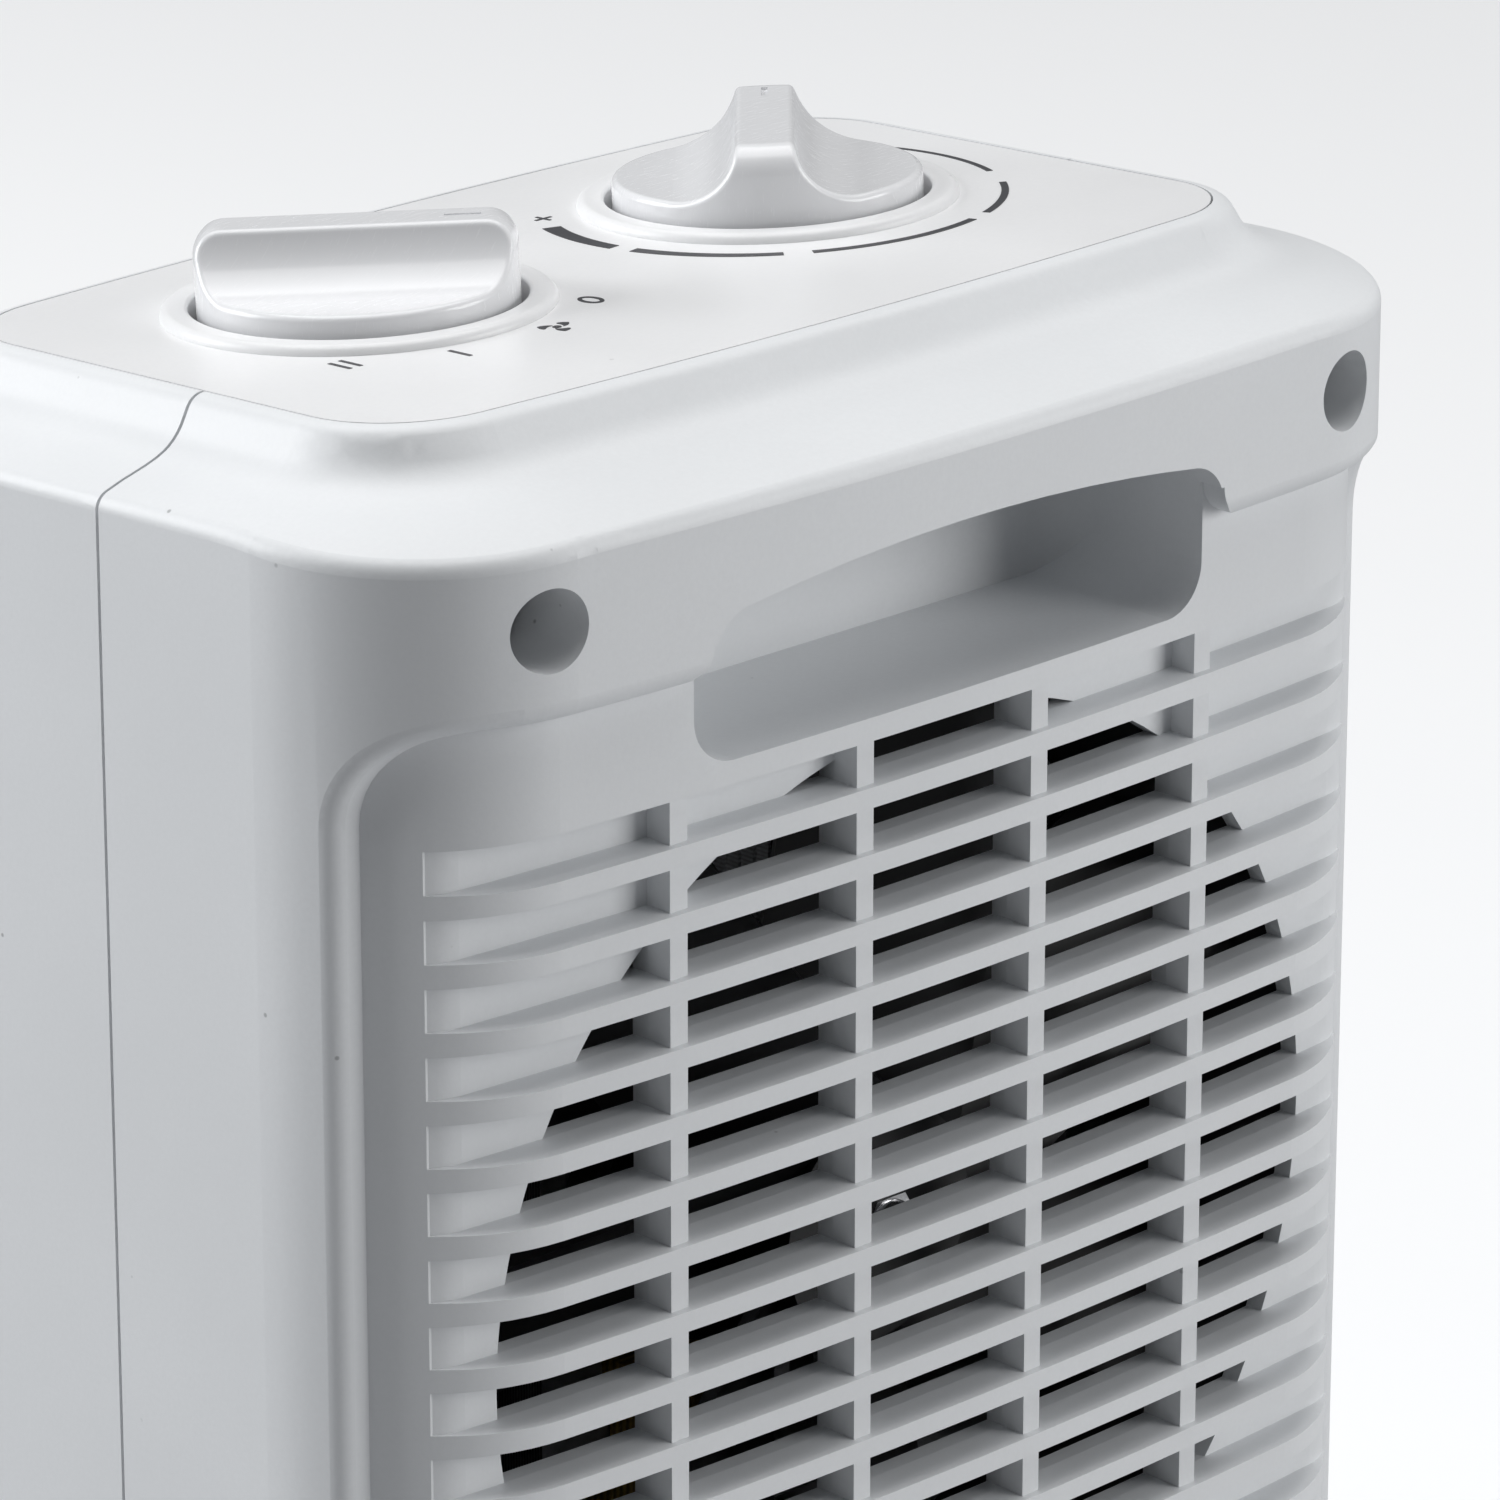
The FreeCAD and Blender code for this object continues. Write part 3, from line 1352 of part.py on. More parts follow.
def folded_strip(low, height):
    """Outline of one folded strip: upright fins joined in turn at the top and at the bottom."""
    thick = size("fin_thick")
    half = size("element_half_width") - thick / 2
    fins = 2 * round(half / size("fin_pitch"))
    pitch = 2 * half / (fins - 1)
    outer_side = []
    inner_side = []
    for index in range(fins):
        x = index * pitch - half
        lean = -thick / 2 if index % 2 == 0 else thick / 2
        bottom = [V(x + lean, 0, low + thick), V(x - lean, 0, low)]
        if index in (0, fins - 1):
            bottom[0] = V(x + lean, 0, low)
        top = [V(x + lean, 0, low + height), V(x - lean, 0, low + height - thick)]
        order = (bottom, top) if index % 2 == 0 else (top, bottom)
        for left, right in order:
            outer_side.append(left)
            inner_side.append(right)
    points = outer_side + inner_side[::-1]
    return Part.Face(Part.makePolygon(points + points[:1]))


def fin_packs():
    """Folded aluminium strips that carry the rods' heat into the air."""
    rows = int(size("element_rows"))
    height = (size("element_height") - (rows - 1) * size("rod_height")) / rows
    packs = []
    for row in range(rows):
        low = FAN_Z - size("element_height") / 2 + row * (height + size("rod_height"))
        pack = folded_strip(low, height).extrude(V(0, size("element_depth"), 0))
        pack.translate(V(0, size("element_front"), 0))
        packs.append(pack)
    return feature("fin_packs", Part.makeCompound(packs))


def air_duct():
    """Square duct round the motor, between the heating element and the fan."""
    start = "element_front + element_depth + 2"
    length = SHROUD_FRONT + " - (" + start + ")"
    outer = element_box(start, length, "element_border")
    hollow = element_box(start + " - 1", length + " + 2", "element_border - 1.6")
    return node(cut(outer, hollow), "air_duct")


def thermal_cutout():
    """Disc cut-out with two tags on top of the element frame."""
    z = "fan_height + element_height / 2 + element_border"
    disc = cylinder("7", "5", "18", "element_front + 8", z)
    tags = [box("4", "0.8", "9", x, "element_front + 7.6", z + " + 4") for x in ("12", "20")]
    return node(fuse(disc, *tags), "thermal_cutout")


def thermal_fuse():
    """One-shot fuse in a clip beside the cut-out."""
    z = "fan_height + element_height / 2 + element_border"
    clip = box("12", "5", "2", "0 - 26", "element_front + 5.5", z)
    link = cylinder("1.9", "12", "0 - 26", "element_front + 8", z + " + 3", axis="x")
    leads = cylinder("0.6", "30", "0 - 35", "element_front + 8", z + " + 3", axis="x")
    return node(fuse(clip, link, leads), "thermal_fuse")


# ---------------------------------------------------------------- wiring and rest


def terminal_block():
    """Screw terminal block on the case's floor beside the cord bush."""
    floor = "foot_height + wall"
    block = box("34", "16", "14", "0", "body_depth / 2 - 38", floor)
    wells = [cylinder("2.4", "6", "%d" % x, "body_depth / 2 - 34", floor + " + 9") for x in (6, 17, 28)]
    ways = [
        cylinder("2.1", "20", "%d" % x, "body_depth / 2 - 40", floor + " + 6", axis="y") for x in (6, 17, 28)
    ]
    return node(cut(block, *wells, *ways), "terminal_block")


def tilt_switch():
    """Sealed switch that opens when the heater falls over."""
    floor = "foot_height + wall"
    case = box("14", "14", "20", "0 - 42", "10", floor)
    flange = box("26", "14", "2", "0 - 48", "10", floor)
    tags = [box("0.8", "4.8", "7", x, "14.6", floor + " + 19") for x in ("0 - 40", "0 - 32")]
    return node(fuse(case, flange, *tags), "tilt_switch")


def cord_bush():
    """Grommet that lines the cord's way through the rear wall."""
    x = size("inlet_offset")
    z = size("screw_bottom")
    face = CROWN - x * x / (2 * BOW)
    inner = face - WALL
    body = rod(size("inlet_radius"), inner - 3, face + 0.6, x, z)
    body = body.fuse(rod(size("inlet_radius") + size("inlet_flange"), inner - 3, inner - 0.4, x, z))
    bore = rod(size("inlet_bore"), inner - 10, face + 5, x, z)
    return feature("cord_bush", body.cut(bore).removeSplitter())


def feet():
    """Four rubber feet, each with a peg through the case's floor."""
    pads = []
    for side in (-1, 1):
        for end in (-1, 1):
            x = "%d * foot_span_x" % side
            y = "%d * foot_span_y" % end
            pad = cone("foot_radius - 0.8", "foot_radius", "foot_height", x, y)
            peg = cylinder("foot_peg", "foot_height + wall + 1", x, y)
            pads.append(fuse(pad, peg))
    return node(group(*pads), "feet")


# ---------------------------------------------------------------- build, check and write


def build():
    """Makes every sub-part."""
    case = outer_case()
    feature("rear_shell", rear_shell(case))
    feature("front_shell", front_shell(case))
    feature("control_plate", control_plate(), TOP_PLANE)
    feature("case_screws", case_screws())
    knob_body("function_knob", 1, "function_knob_angle")
    knob_body("thermostat_knob", -1, "thermostat_knob_angle")
    knob_spindle("function_spindle", 1)
    knob_spindle("thermostat_spindle", -1)
    switch_bracket()
    rotary_switch()
    thermostat_base()
    bimetal_strip()
    outlet_grille()
    fan_shroud()
    impeller()
    fan_nut()
    motor()
    element_frame()
    heating_rods()
    fin_packs()
    air_duct()
    thermal_cutout()
    thermal_fuse()
    terminal_block()
    tilt_switch()
    cord_bush()
    feet()


def check():
    """Stops if any object failed or any sub-part has no sound shape."""
    doc.recompute()
    for obj in doc.Objects:
        if "Invalid" in obj.State or "Error" in obj.State:
            raise RuntimeError("failed object: " + obj.Name)
    for obj in NODES:
        if obj.Shape.isNull() or not obj.Shape.isValid() or not obj.Shape.Solids:
            raise RuntimeError("bad shape: " + obj.Label)


def write():
    """Writes one file per sub-part."""
    os.makedirs("parts", exist_ok=True)
    for obj in NODES:
        obj.Shape.exportStep("parts/" + obj.Label + ".step")
        print(obj.Label, len(obj.Shape.Solids), "solids", round(obj.Shape.Volume, 1), "mm3")


build()
check()
write()
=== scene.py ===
import json
import math

import bmesh
import bpy
from mathutils import Euler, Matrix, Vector


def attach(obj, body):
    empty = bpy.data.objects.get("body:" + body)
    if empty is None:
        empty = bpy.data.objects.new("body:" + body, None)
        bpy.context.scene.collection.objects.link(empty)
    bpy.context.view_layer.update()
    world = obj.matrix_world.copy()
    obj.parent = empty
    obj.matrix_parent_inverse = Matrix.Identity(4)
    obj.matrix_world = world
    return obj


# Looks for a small upright fan heater, in metres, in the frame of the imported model:
# +Z up, the intake grille and the hand hold at +Y, warm air leaves at -Y.

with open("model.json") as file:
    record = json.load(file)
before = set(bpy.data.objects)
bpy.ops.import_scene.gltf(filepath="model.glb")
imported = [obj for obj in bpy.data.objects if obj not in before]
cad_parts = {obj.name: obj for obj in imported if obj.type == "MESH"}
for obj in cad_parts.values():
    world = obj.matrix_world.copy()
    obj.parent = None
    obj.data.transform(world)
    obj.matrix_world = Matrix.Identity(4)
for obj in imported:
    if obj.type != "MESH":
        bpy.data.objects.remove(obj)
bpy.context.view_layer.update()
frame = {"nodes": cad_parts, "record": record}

TOP_ORIGIN = Vector((0.0, -0.013, 0.2262))
TOP_TILT = 3.59
TOP_TURN = Euler((math.radians(TOP_TILT), 0.0, 0.0)).to_matrix()
KNOB_X = 0.0332
INK = 0.00006
STROKE = 0.00055
LABEL_RADIUS = 0.0273
LABEL_HALF_HEIGHT = 0.0019
SCALE_RADIUS = 0.0295
FAN_STEPS = 8
WAVE_SCALE = 0.314
"""Wave texture scale that gives one band per metre."""


# ---------------------------------------------------------------- node helpers


def material(name, roughness, metallic=0.0, **fixed):
    """Empty Principled material; the fixed values go straight on its sockets."""
    made = bpy.data.materials.new(name)
    made.use_nodes = True
    shader = made.node_tree.nodes["Principled BSDF"]
    shader.inputs["Roughness"].default_value = roughness
    shader.inputs["Metallic"].default_value = metallic
    for socket, value in fixed.items():
        shader.inputs[socket.replace("_", " ")].default_value = value
    return made


def add(made, kind, **settings):
    """One node of a material's tree."""
    item = made.node_tree.nodes.new(kind)
    for key, value in settings.items():
        if key in item.inputs:
            item.inputs[key].default_value = value
        else:
            setattr(item, key, value)
    return item


def wire(made, source, target):
    """Link between two sockets."""
    made.node_tree.links.new(source, target)


def shader_input(made, name):
    """Socket of the material's Principled shader."""
    return made.node_tree.nodes["Principled BSDF"].inputs[name]


def place(made, stretch=(1.0, 1.0, 1.0)):
    """Position in the object's own frame, stretched along the axes."""
    where = add(made, "ShaderNodeTexCoord")
    mapping = add(made, "ShaderNodeMapping")
    mapping.inputs["Scale"].default_value = stretch
    wire(made, where.outputs["Object"], mapping.inputs["Vector"])
    return mapping.outputs["Vector"]


def noise(made, where, scale, detail=3.0, roughness=0.5):
    """Noise value from 0 to 1."""
    item = add(made, "ShaderNodeTexNoise", Scale=scale, Detail=detail, Roughness=roughness)
    wire(made, where, item.inputs["Vector"])
    return item.outputs["Fac"]


def remap(made, value, low, high, out_low, out_high):
    """Value moved from one range to another and clamped."""
    item = add(made, "ShaderNodeMapRange")
    for index, number in enumerate((low, high, out_low, out_high), start=1):
        item.inputs[index].default_value = number
    wire(made, value, item.inputs[0])
    return item.outputs["Result"]


def blend(made, share, low, high):
    """Mix of two colours or sockets by a share."""
    item = add(made, "ShaderNodeMix", data_type="RGBA")
    wire(made, share, item.inputs["Factor"])
    for socket, value in ((item.inputs[6], low), (item.inputs[7], high)):
        if isinstance(value, tuple):
            socket.default_value = (*value, 1.0)
        else:
            wire(made, value, socket)
    return item.outputs[2]


def bump(made, height, depth, strength=1.0, below=None):
    """Bump of a given depth in metres, on top of another bump."""
    item = add(made, "ShaderNodeBump", Strength=strength, Distance=depth)
    wire(made, height, item.inputs["Height"])
    if below is not None:
        wire(made, below, item.inputs["Normal"])
    return item.outputs["Normal"]


def shade(colour, factor):
    """Colour made darker or lighter."""
    return tuple(min(1.0, part * factor) for part in colour)


# ---------------------------------------------------------------- materials


def moulded(name, colour, roughness, grain=0.000012, pitch=1500.0, specks=0.0, **fixed):
    """Injection-moulded plastic: spark-eroded grain, faint flow shading, a little dust."""
    made = material(name, roughness, **fixed)
    where = place(made)
    flow = noise(made, where, 22.0, 4.0)
    base = blend(made, remap(made, flow, 0.35, 0.65, 0.0, 1.0), shade(colour, 0.97), colour)
    fine = noise(made, where, pitch, 2.0, 0.6)
    base = blend(made, remap(made, fine, 0.3, 0.7, 0.0, 0.35), base, shade(colour, 0.93))
    if specks:
        dots = add(made, "ShaderNodeTexVoronoi", Scale=160.0)
        wire(made, where, dots.inputs["Vector"])
        patch = remap(made, noise(made, where, 45.0, 2.0), 0.56, 0.62, 0.0, specks)
        near = remap(made, dots.outputs["Distance"], 0.03, 0.055, 1.0, 0.0)
        both = add(made, "ShaderNodeMath", operation="MULTIPLY")
        wire(made, near, both.inputs[0])
        wire(made, patch, both.inputs[1])
        base = blend(made, both.outputs["Value"], base, shade(colour, 0.45))
    wire(made, base, shader_input(made, "Base Color"))
    gloss = remap(made, flow, 0.3, 0.7, roughness - 0.04, roughness + 0.05)
    wire(made, gloss, shader_input(made, "Roughness"))
    waves = bump(made, flow, 0.0002, 0.5)
    wire(made, bump(made, fine, grain, 1.0, waves), shader_input(made, "Normal"))
    return made


def polished(name, colour, roughness, metallic=0.0, grain=0.000004, **fixed):
    """Smooth surface with hairline marks and uneven gloss."""
    made = material(name, roughness, metallic, **fixed)
    where = place(made)
    cloud = noise(made, where, 60.0, 4.0)
    wire(made, blend(made, cloud, shade(colour, 0.95), colour), shader_input(made, "Base Color"))
    hairs = noise(made, place(made, (1.0, 14.0, 1.0)), 420.0, 3.0, 0.7)
    gloss = remap(made, hairs, 0.3, 0.75, roughness - 0.05, roughness + 0.09)
    wire(made, gloss, shader_input(made, "Roughness"))
    wire(made, bump(made, hairs, grain), shader_input(made, "Normal"))
    return made


def drawn_metal(name, colour, roughness, stretch, scale=700.0, tarnish=0.12, **fixed):
    """Rolled, ground or turned metal with lines one way and patches of dull tone."""
    made = material(name, roughness, 1.0, **fixed)
    lines = noise(made, place(made, stretch), scale, 4.0, 0.65)
    cloud = noise(made, place(made), 90.0, 5.0, 0.6)
    dull = remap(made, cloud, 0.45, 0.7, 0.0, 1.0)
    tone = blend(made, lines, shade(colour, 0.82), colour)
    wire(made, blend(made, dull, tone, shade(colour, 1.0 - 2 * tarnish)), shader_input(made, "Base Color"))
    gloss = remap(made, cloud, 0.3, 0.75, roughness - 0.06, roughness + tarnish)
    wire(made, gloss, shader_input(made, "Roughness"))
    wire(made, bump(made, lines, 0.00001), shader_input(made, "Normal"))
    return made


def banded(name, light, dark, roughness, metallic, pitch, direction, depth, **fixed):
    """Even bands at a real pitch, such as laminations, windings or fin edges."""
    made = material(name, roughness, metallic, **fixed)
    where = place(made)
    bands = add(made, "ShaderNodeTexWave", bands_direction=direction, Distortion=0.6)
    bands.inputs["Scale"].default_value = WAVE_SCALE / pitch
    bands.inputs["Detail Scale"].default_value = 300.0
    wire(made, where, bands.inputs["Vector"])
    cloud = noise(made, where, 160.0, 4.0)
    tone = blend(made, bands.outputs["Fac"], dark, light)
    stained = blend(made, remap(made, cloud, 0.4, 0.8, 0.0, 0.5), tone, dark)
    wire(made, stained, shader_input(made, "Base Color"))
    gloss = remap(made, cloud, 0.3, 0.7, roughness - 0.05, roughness + 0.08)
    wire(made, gloss, shader_input(made, "Roughness"))
    wire(made, bump(made, bands.outputs["Fac"], depth), shader_input(made, "Normal"))
    return made


def fired(name, colour, roughness):
    """Unglazed ceramic: chalky pores and a warm mottled tone."""
    made = material(name, roughness)
    where = place(made)
    cloud = noise(made, where, 120.0, 5.0, 0.6)
    pores = add(made, "ShaderNodeTexVoronoi", Scale=1400.0)
    wire(made, where, pores.inputs["Vector"])
    pits = remap(made, pores.outputs["Distance"], 0.1, 0.4, 0.0, 1.0)
    tone = blend(made, cloud, shade(colour, 0.86), colour)
    wire(made, blend(made, pits, shade(colour, 0.72), tone), shader_input(made, "Base Color"))
    wire(made, bump(made, pits, 0.00004), shader_input(made, "Normal"))
    return made


def rubber(name, colour):
    """Moulded rubber: matt, with a bloom of lighter dust."""
    made = material(name, 0.75)
    where = place(made)
    cloud = noise(made, where, 180.0, 5.0, 0.65)
    fine = noise(made, where, 2200.0, 2.0)
    bloom = shade(colour, 2.4)
    dusted = blend(made, remap(made, cloud, 0.5, 0.75, 0.0, 0.6), colour, bloom)
    wire(made, dusted, shader_input(made, "Base Color"))
    wire(made, remap(made, cloud, 0.3, 0.7, 0.66, 0.86), shader_input(made, "Roughness"))
    wire(made, bump(made, fine, 0.00003), shader_input(made, "Normal"))
    return made


def printed(name, colour):
    """Pad-printed ink with a slightly broken edge tone."""
    made = material(name, 0.45)
    where = place(made)
    grain = noise(made, where, 2600.0, 3.0, 0.7)
    wire(made, blend(made, grain, colour, shade(colour, 1.7)), shader_input(made, "Base Color"))
    wire(made, bump(made, grain, 0.000006), shader_input(made, "Normal"))
    return made


CASE_WHITE = (0.80, 0.815, 0.83)
PANEL_WHITE = (0.85, 0.853, 0.86)
KNOB_WHITE = (0.83, 0.835, 0.85)

MATERIALS = {
    "case_white": lambda n: moulded(n, CASE_WHITE, 0.42, specks=0.8),
    "panel_white": lambda n: moulded(n, PANEL_WHITE, 0.34, grain=0.000005, specks=0.35),
    "knob_white": lambda n: polished(n, KNOB_WHITE, 0.22, Coat_Weight=0.25, Coat_Roughness=0.12),
    "screw_zinc": lambda n: drawn_metal(n, (0.10, 0.10, 0.105), 0.42, (1.0, 8.0, 1.0)),
    "spindle_nylon": lambda n: moulded(n, (0.62, 0.60, 0.52), 0.5, grain=0.00002),
    "spindle_steel": lambda n: drawn_metal(n, (0.55, 0.55, 0.56), 0.3, (1.0, 1.0, 16.0)),
    "galvanised": lambda n: drawn_metal(n, (0.60, 0.61, 0.63), 0.38, (3.0, 1.0, 1.0), 260.0, 0.2),
    "switch_black": lambda n: moulded(n, (0.02, 0.02, 0.022), 0.4),
    "steatite": lambda n: fired(n, (0.70, 0.66, 0.56), 0.7),
    "bimetal": lambda n: drawn_metal(n, (0.62, 0.47, 0.26), 0.32, (12.0, 1.0, 1.0)),
    "grille_grey": lambda n: moulded(n, (0.045, 0.045, 0.048), 0.48),
    "shroud_grey": lambda n: moulded(n, (0.018, 0.018, 0.020), 0.5, grain=0.00002),
    "impeller_black": lambda n: moulded(n, (0.006, 0.006, 0.0065), 0.35, grain=0.000008),
    "nut_chrome": lambda n: drawn_metal(n, (0.78, 0.78, 0.79), 0.16, (1.0, 6.0, 1.0), 500.0, 0.06),
    "shaft_steel": lambda n: drawn_metal(n, (0.58, 0.58, 0.6), 0.24, (1.0, 14.0, 1.0)),
    "lamination": lambda n: banded(n, (0.26, 0.26, 0.28), (0.06, 0.05, 0.05), 0.5, 0.9, 0.0005, "Y", 0.00006),
    "coil_tape": lambda n: banded(n, (0.62, 0.42, 0.10), (0.36, 0.22, 0.05), 0.45, 0.0, 0.0012, "Y", 0.00012),
    "bronze": lambda n: fired(n, (0.42, 0.26, 0.10), 0.55),
    "frame_phenolic": lambda n: moulded(n, (0.030, 0.020, 0.015), 0.5, grain=0.00003),
    "rod_ceramic": lambda n: fired(n, (0.55, 0.52, 0.46), 0.6),
    "fin_aluminium": lambda n: banded(
        n, (0.72, 0.73, 0.74), (0.5, 0.5, 0.51), 0.35, 1.0, 0.0006, "Z", 0.00003
    ),
    "duct_steel": lambda n: drawn_metal(n, (0.55, 0.56, 0.58), 0.4, (1.0, 8.0, 1.0), 300.0, 0.18),
    "cutout_phenolic": lambda n: moulded(n, (0.022, 0.014, 0.011), 0.38, grain=0.00002),
    "fuse_case": lambda n: drawn_metal(n, (0.66, 0.63, 0.56), 0.3, (10.0, 1.0, 1.0)),
    "terminal_nylon": lambda n: moulded(n, (0.68, 0.68, 0.60), 0.45, Subsurface_Weight=0.2),
    "tilt_blue": lambda n: moulded(n, (0.018, 0.035, 0.10), 0.42),
    "bush_black": lambda n: rubber(n, (0.012, 0.012, 0.013)),
    "foot_rubber": lambda n: rubber(n, (0.018, 0.018, 0.018)),
    "legend_ink": lambda n: printed(n, (0.045, 0.046, 0.05)),
}


def dress_nodes():
    """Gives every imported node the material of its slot."""
    made = {slot: make(slot) for slot, make in MATERIALS.items()}
    for entry in frame["record"]["subparts"]:
        mesh = frame["nodes"][entry["node"]].data
        mesh.materials.clear()
        mesh.materials.append(made[entry["material_slot"]])
    return made


# ---------------------------------------------------------------- printed marks on the top


def band(mesh, left, right, closed=False):
    """Thin raised strip between two lines of points in the top's plane."""
    rows = []
    for (ax, ay), (bx, by) in zip(left, right):
        corners = [(ax, ay, 0.0), (bx, by, 0.0), (bx, by, INK), (ax, ay, INK)]
        rows.append([mesh.verts.new(TOP_ORIGIN + TOP_TURN @ Vector(corner)) for corner in corners])
    pairs = list(zip(rows, rows[1:] + rows[:1])) if closed else list(zip(rows, rows[1:]))
    for here, there in pairs:
        for side in range(4):
            after = (side + 1) % 4
            mesh.faces.new((here[side], here[after], there[after], there[side]))
    if not closed:
        mesh.faces.new(rows[0][::-1])
        mesh.faces.new(rows[-1])


def bar(mesh, start, end, width):
    """Straight stroke with square ends."""
    along = (Vector(end) - Vector(start)).normalized() * width / 2
    aside = Vector((-along.y, along.x))
    ends = [Vector(start), Vector(end)]
    band(mesh, [tuple(p + aside) for p in ends], [tuple(p - aside) for p in ends])


def upright(mesh, x, y):
    """One of the upright strokes that count the heat settings."""
    bar(mesh, (x, y - LABEL_HALF_HEIGHT), (x, y + LABEL_HALF_HEIGHT), STROKE)


def around(centre, radius, angle):
    """Point at a radius and an angle in degrees from a knob's axis."""
    turn = math.radians(angle)
    return centre + radius * math.cos(turn), radius * math.sin(turn)


def arc(mesh, centre, outer, start, end, thick_start, thick_end):
    """Curved stroke whose thickness changes from one end to the other."""
    steps = max(6, int(abs(end - start) / 2))
    left, right = [], []
    for step in range(steps + 1):
        share = step / steps
        angle = start + (end - start) * share
        thick = thick_start + (thick_end - thick_start) * share
        left.append(around(centre, outer, angle))
        right.append(around(centre, outer - thick, angle))
    band(mesh, left, right)


def ring(mesh, middle, across, up, stroke):
    """Oval outline, as a nought or a hub."""
    left, right = [], []
    steps = 28
    for step in range(steps):
        angle = 2 * math.pi * step / steps
        for line, grow in ((left, 0.0), (right, stroke)):
            x = middle[0] + (across - grow) * math.cos(angle)
            y = middle[1] + (up - grow) * math.sin(angle)
            line.append((x, y))
    band(mesh, left, right, closed=True)


def finish_marks(mesh, name, made):
    """Turns a bmesh into a piece that rides on the case."""
    bmesh.ops.recalc_face_normals(mesh, faces=mesh.faces)
    data = bpy.data.meshes.new(name)
    mesh.to_mesh(data)
    mesh.free()
    data.materials.append(made["legend_ink"])
    piece = bpy.data.objects.new(name, data)
    bpy.context.collection.objects.link(piece)
    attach(piece, "case")
    return piece


def function_marks(made):
    """Nought, fan, one and two round the function knob."""
    mesh = bmesh.new()
    nought = around(KNOB_X, LABEL_RADIUS, 133.0)
    ring(mesh, nought, 0.0013, LABEL_HALF_HEIGHT, STROKE)
    fan = around(KNOB_X, LABEL_RADIUS, 106.0)
    ring(mesh, fan, 0.00055, 0.00055, 0.0004)
    for blade in range(3):
        left, right = [], []
        for step in range(FAN_STEPS + 1):
            share = step / FAN_STEPS
            angle = math.radians(120.0 * blade + 30.0 + 42.0 * share)
            radius = 0.00075 + 0.0016 * share
            swell = math.radians(58.0) * math.sin(math.pi * share)
            left.append((fan[0] + radius * math.cos(angle), fan[1] + radius * math.sin(angle)))
            outer = angle + max(swell, 0.01)
            right.append((fan[0] + radius * math.cos(outer), fan[1] + radius * math.sin(outer)))
        band(mesh, left, right)
    one = around(KNOB_X, LABEL_RADIUS, 74.0)
    upright(mesh, one[0], one[1])
    two = around(KNOB_X, LABEL_RADIUS, 45.6)
    half_gap = 0.0008
    for side in (-1, 1):
        upright(mesh, two[0] + side * half_gap, two[1])
    return finish_marks(mesh, "function_marks", made)


# Start and end angle, and thickness at each end, of the strokes of the warmth scale.
WARMTH = [
    (-22.0, 6.0, 0.0024, 0.0018),
    (12.0, 50.0, 0.0017, 0.0014),
    (57.0, 105.0, 0.0013, 0.0011),
    (112.0, 143.5, 0.0010, 0.0009),
    (156.0, 211.0, 0.0008, 0.0006),
]


def thermostat_marks(made):
    """Scale that swells from cool to warm round the thermostat knob, with a plus at its end."""
    mesh = bmesh.new()
    for start, end, thick_start, thick_end in WARMTH:
        arc(mesh, -KNOB_X, SCALE_RADIUS, start, end, thick_start, thick_end)
    plus = around(-KNOB_X, 0.028, -32.0)
    arm = 0.0013
    half = 0.00022
    bar(mesh, (plus[0] - arm, plus[1]), (plus[0] + arm, plus[1]), 2 * half)
    for side in (-1, 1):
        bar(mesh, (plus[0], plus[1] + side * half), (plus[0], plus[1] + side * arm), 2 * half)
    return finish_marks(mesh, "thermostat_marks", made)


# ---------------------------------------------------------------- floor, light and camera


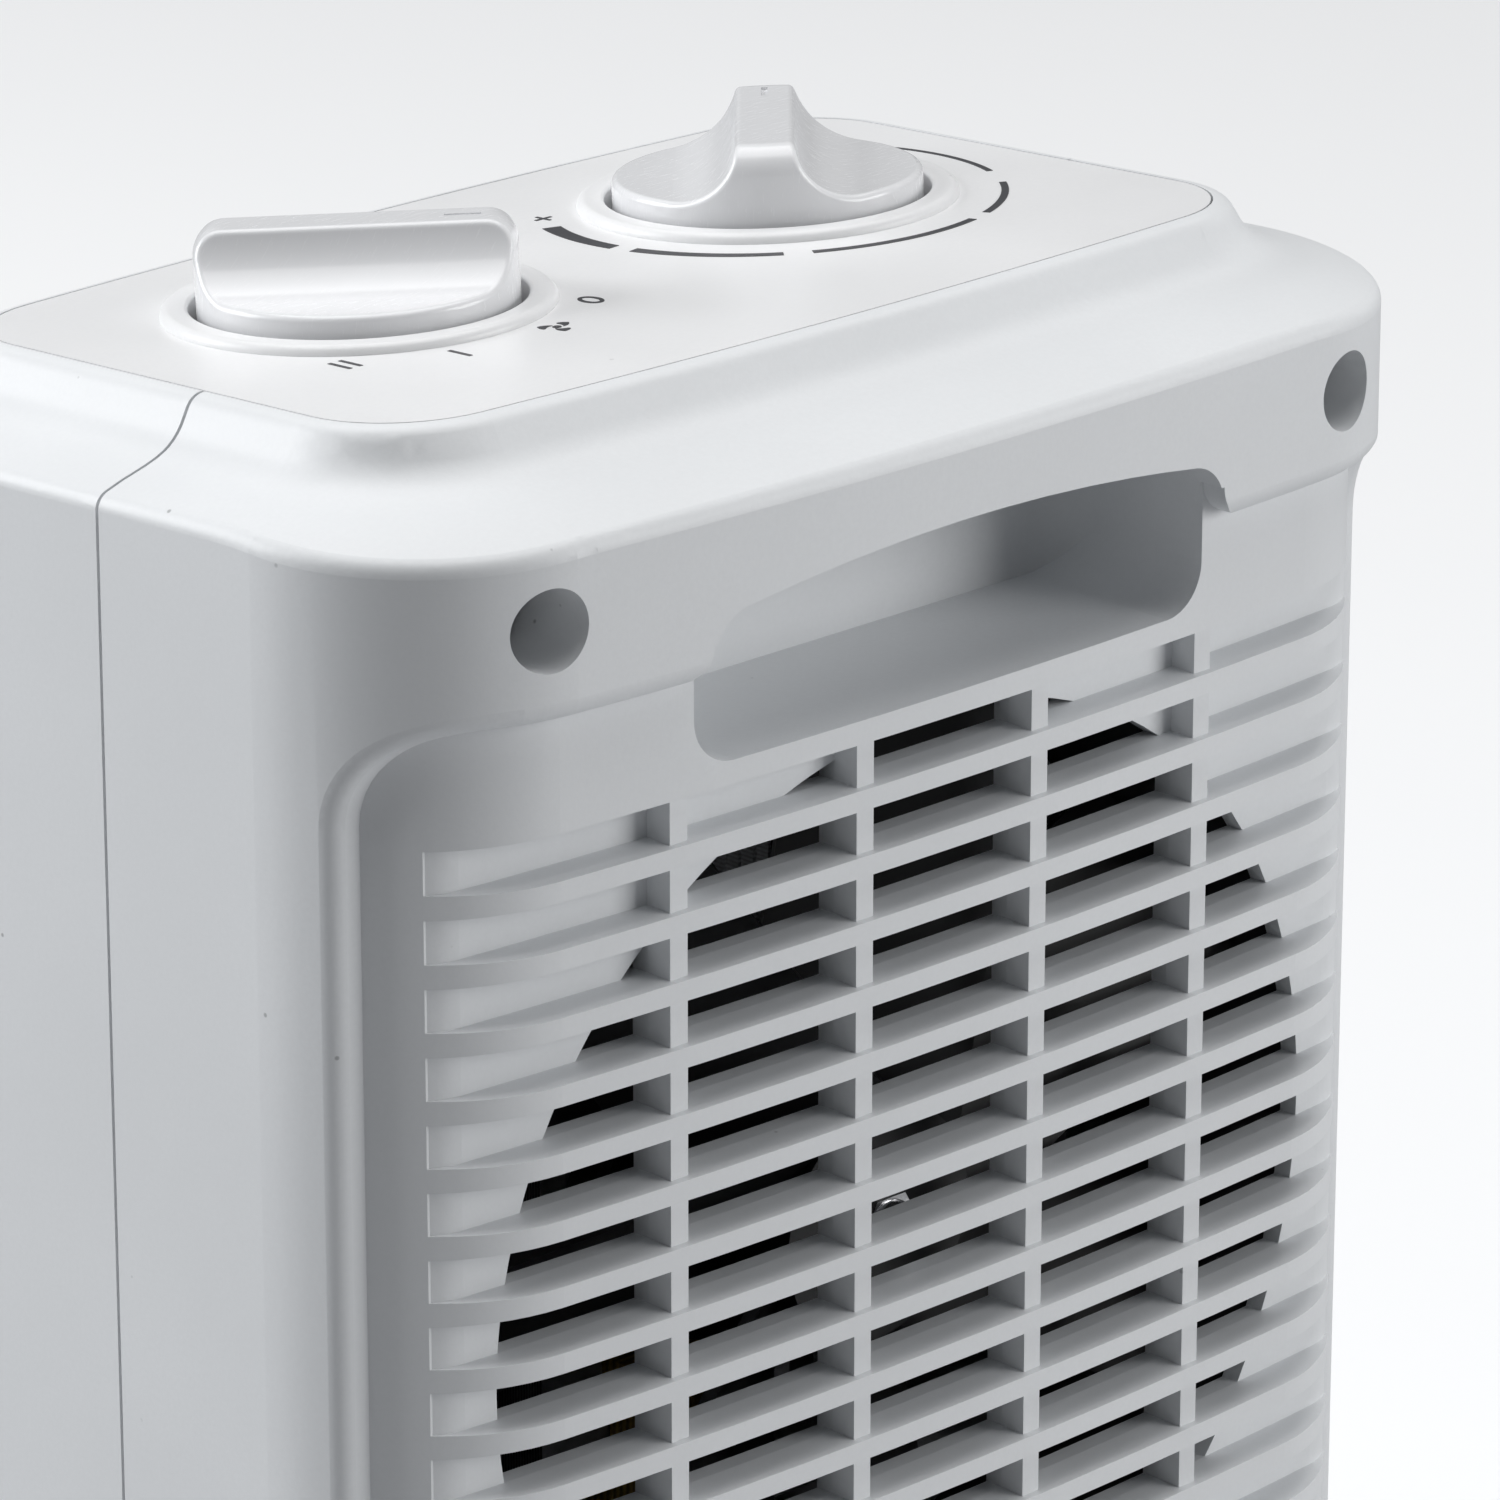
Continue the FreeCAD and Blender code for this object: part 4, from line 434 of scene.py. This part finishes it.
def floor():
    """Pale matt floor. It throws less light back than it shows, as a floor further off would."""
    made = material("floor_pale", 0.9)
    where = place(made)
    mottle = noise(made, where, 3.0, 4.0)
    seen = blend(made, mottle, (0.85, 0.855, 0.865), (0.88, 0.885, 0.89))
    ray = add(made, "ShaderNodeLightPath")
    shown = blend(made, ray.outputs["Is Camera Ray"], (0.34, 0.345, 0.355), seen)
    wire(made, shown, shader_input(made, "Base Color"))
    data = bpy.data.meshes.new("floor")
    reach = 6.0
    corners = [(-reach, -reach, 0), (reach, -reach, 0), (reach, reach, 0), (-reach, reach, 0)]
    data.from_pydata(corners, [], [(0, 1, 2, 3)])
    data.materials.append(made)
    ground = bpy.data.objects.new("floor", data)
    bpy.context.collection.objects.link(ground)


def softbox(name, azimuth, elevation, distance, side, watts, colour=(1.0, 1.0, 1.0)):
    """Square area light aimed at the middle of the case."""
    data = bpy.data.lights.new(name, "AREA")
    data.shape = "SQUARE"
    data.size = side
    data.energy = watts
    data.color = colour
    lamp = bpy.data.objects.new(name, data)
    turn = math.radians(azimuth)
    rise = math.radians(elevation)
    away = Vector((math.cos(turn) * math.cos(rise), math.sin(turn) * math.cos(rise), math.sin(rise)))
    target = Vector((0.0, 0.0, 0.12))
    lamp.location = target + away * distance
    lamp.rotation_euler = (-away).to_track_quat("-Z", "Y").to_euler()
    bpy.context.collection.objects.link(lamp)


def light():
    """Large box overhead, one each side of the near corner, and a soft surround."""
    softbox("overhead", 225.0, 80.0, 2.4, 2.6, 55.5)
    softbox("side", -48.0, 22.0, 1.6, 1.0, 19.5, (0.98, 0.99, 1.0))
    softbox("rear", 128.0, 12.0, 1.6, 0.9, 13.0)
    world = bpy.data.worlds.new("surround")
    world.use_nodes = True
    sky = world.node_tree.nodes["Background"]
    sky.inputs["Color"].default_value = (0.93, 0.96, 1.0, 1.0)
    sky.inputs["Strength"].default_value = 0.09
    bpy.context.scene.world = world
    bpy.context.scene.view_settings.view_transform = "Standard"


def camera():
    """Long lens from above the rear corner."""
    data = bpy.data.cameras.new("camera")
    data.lens = 203.7
    data.sensor_width = 36.0
    eye = bpy.data.objects.new("camera", data)
    eye.location = (0.6590, 0.7100, 0.5127)
    target = Vector((0.03372, 0.0540, 0.1884))
    eye.rotation_euler = (target - eye.location).to_track_quat("-Z", "Y").to_euler()
    bpy.context.collection.objects.link(eye)
    bpy.context.scene.camera = eye


made_materials = dress_nodes()
function_marks(made_materials)
thermostat_marks(made_materials)
floor()
light()
camera()
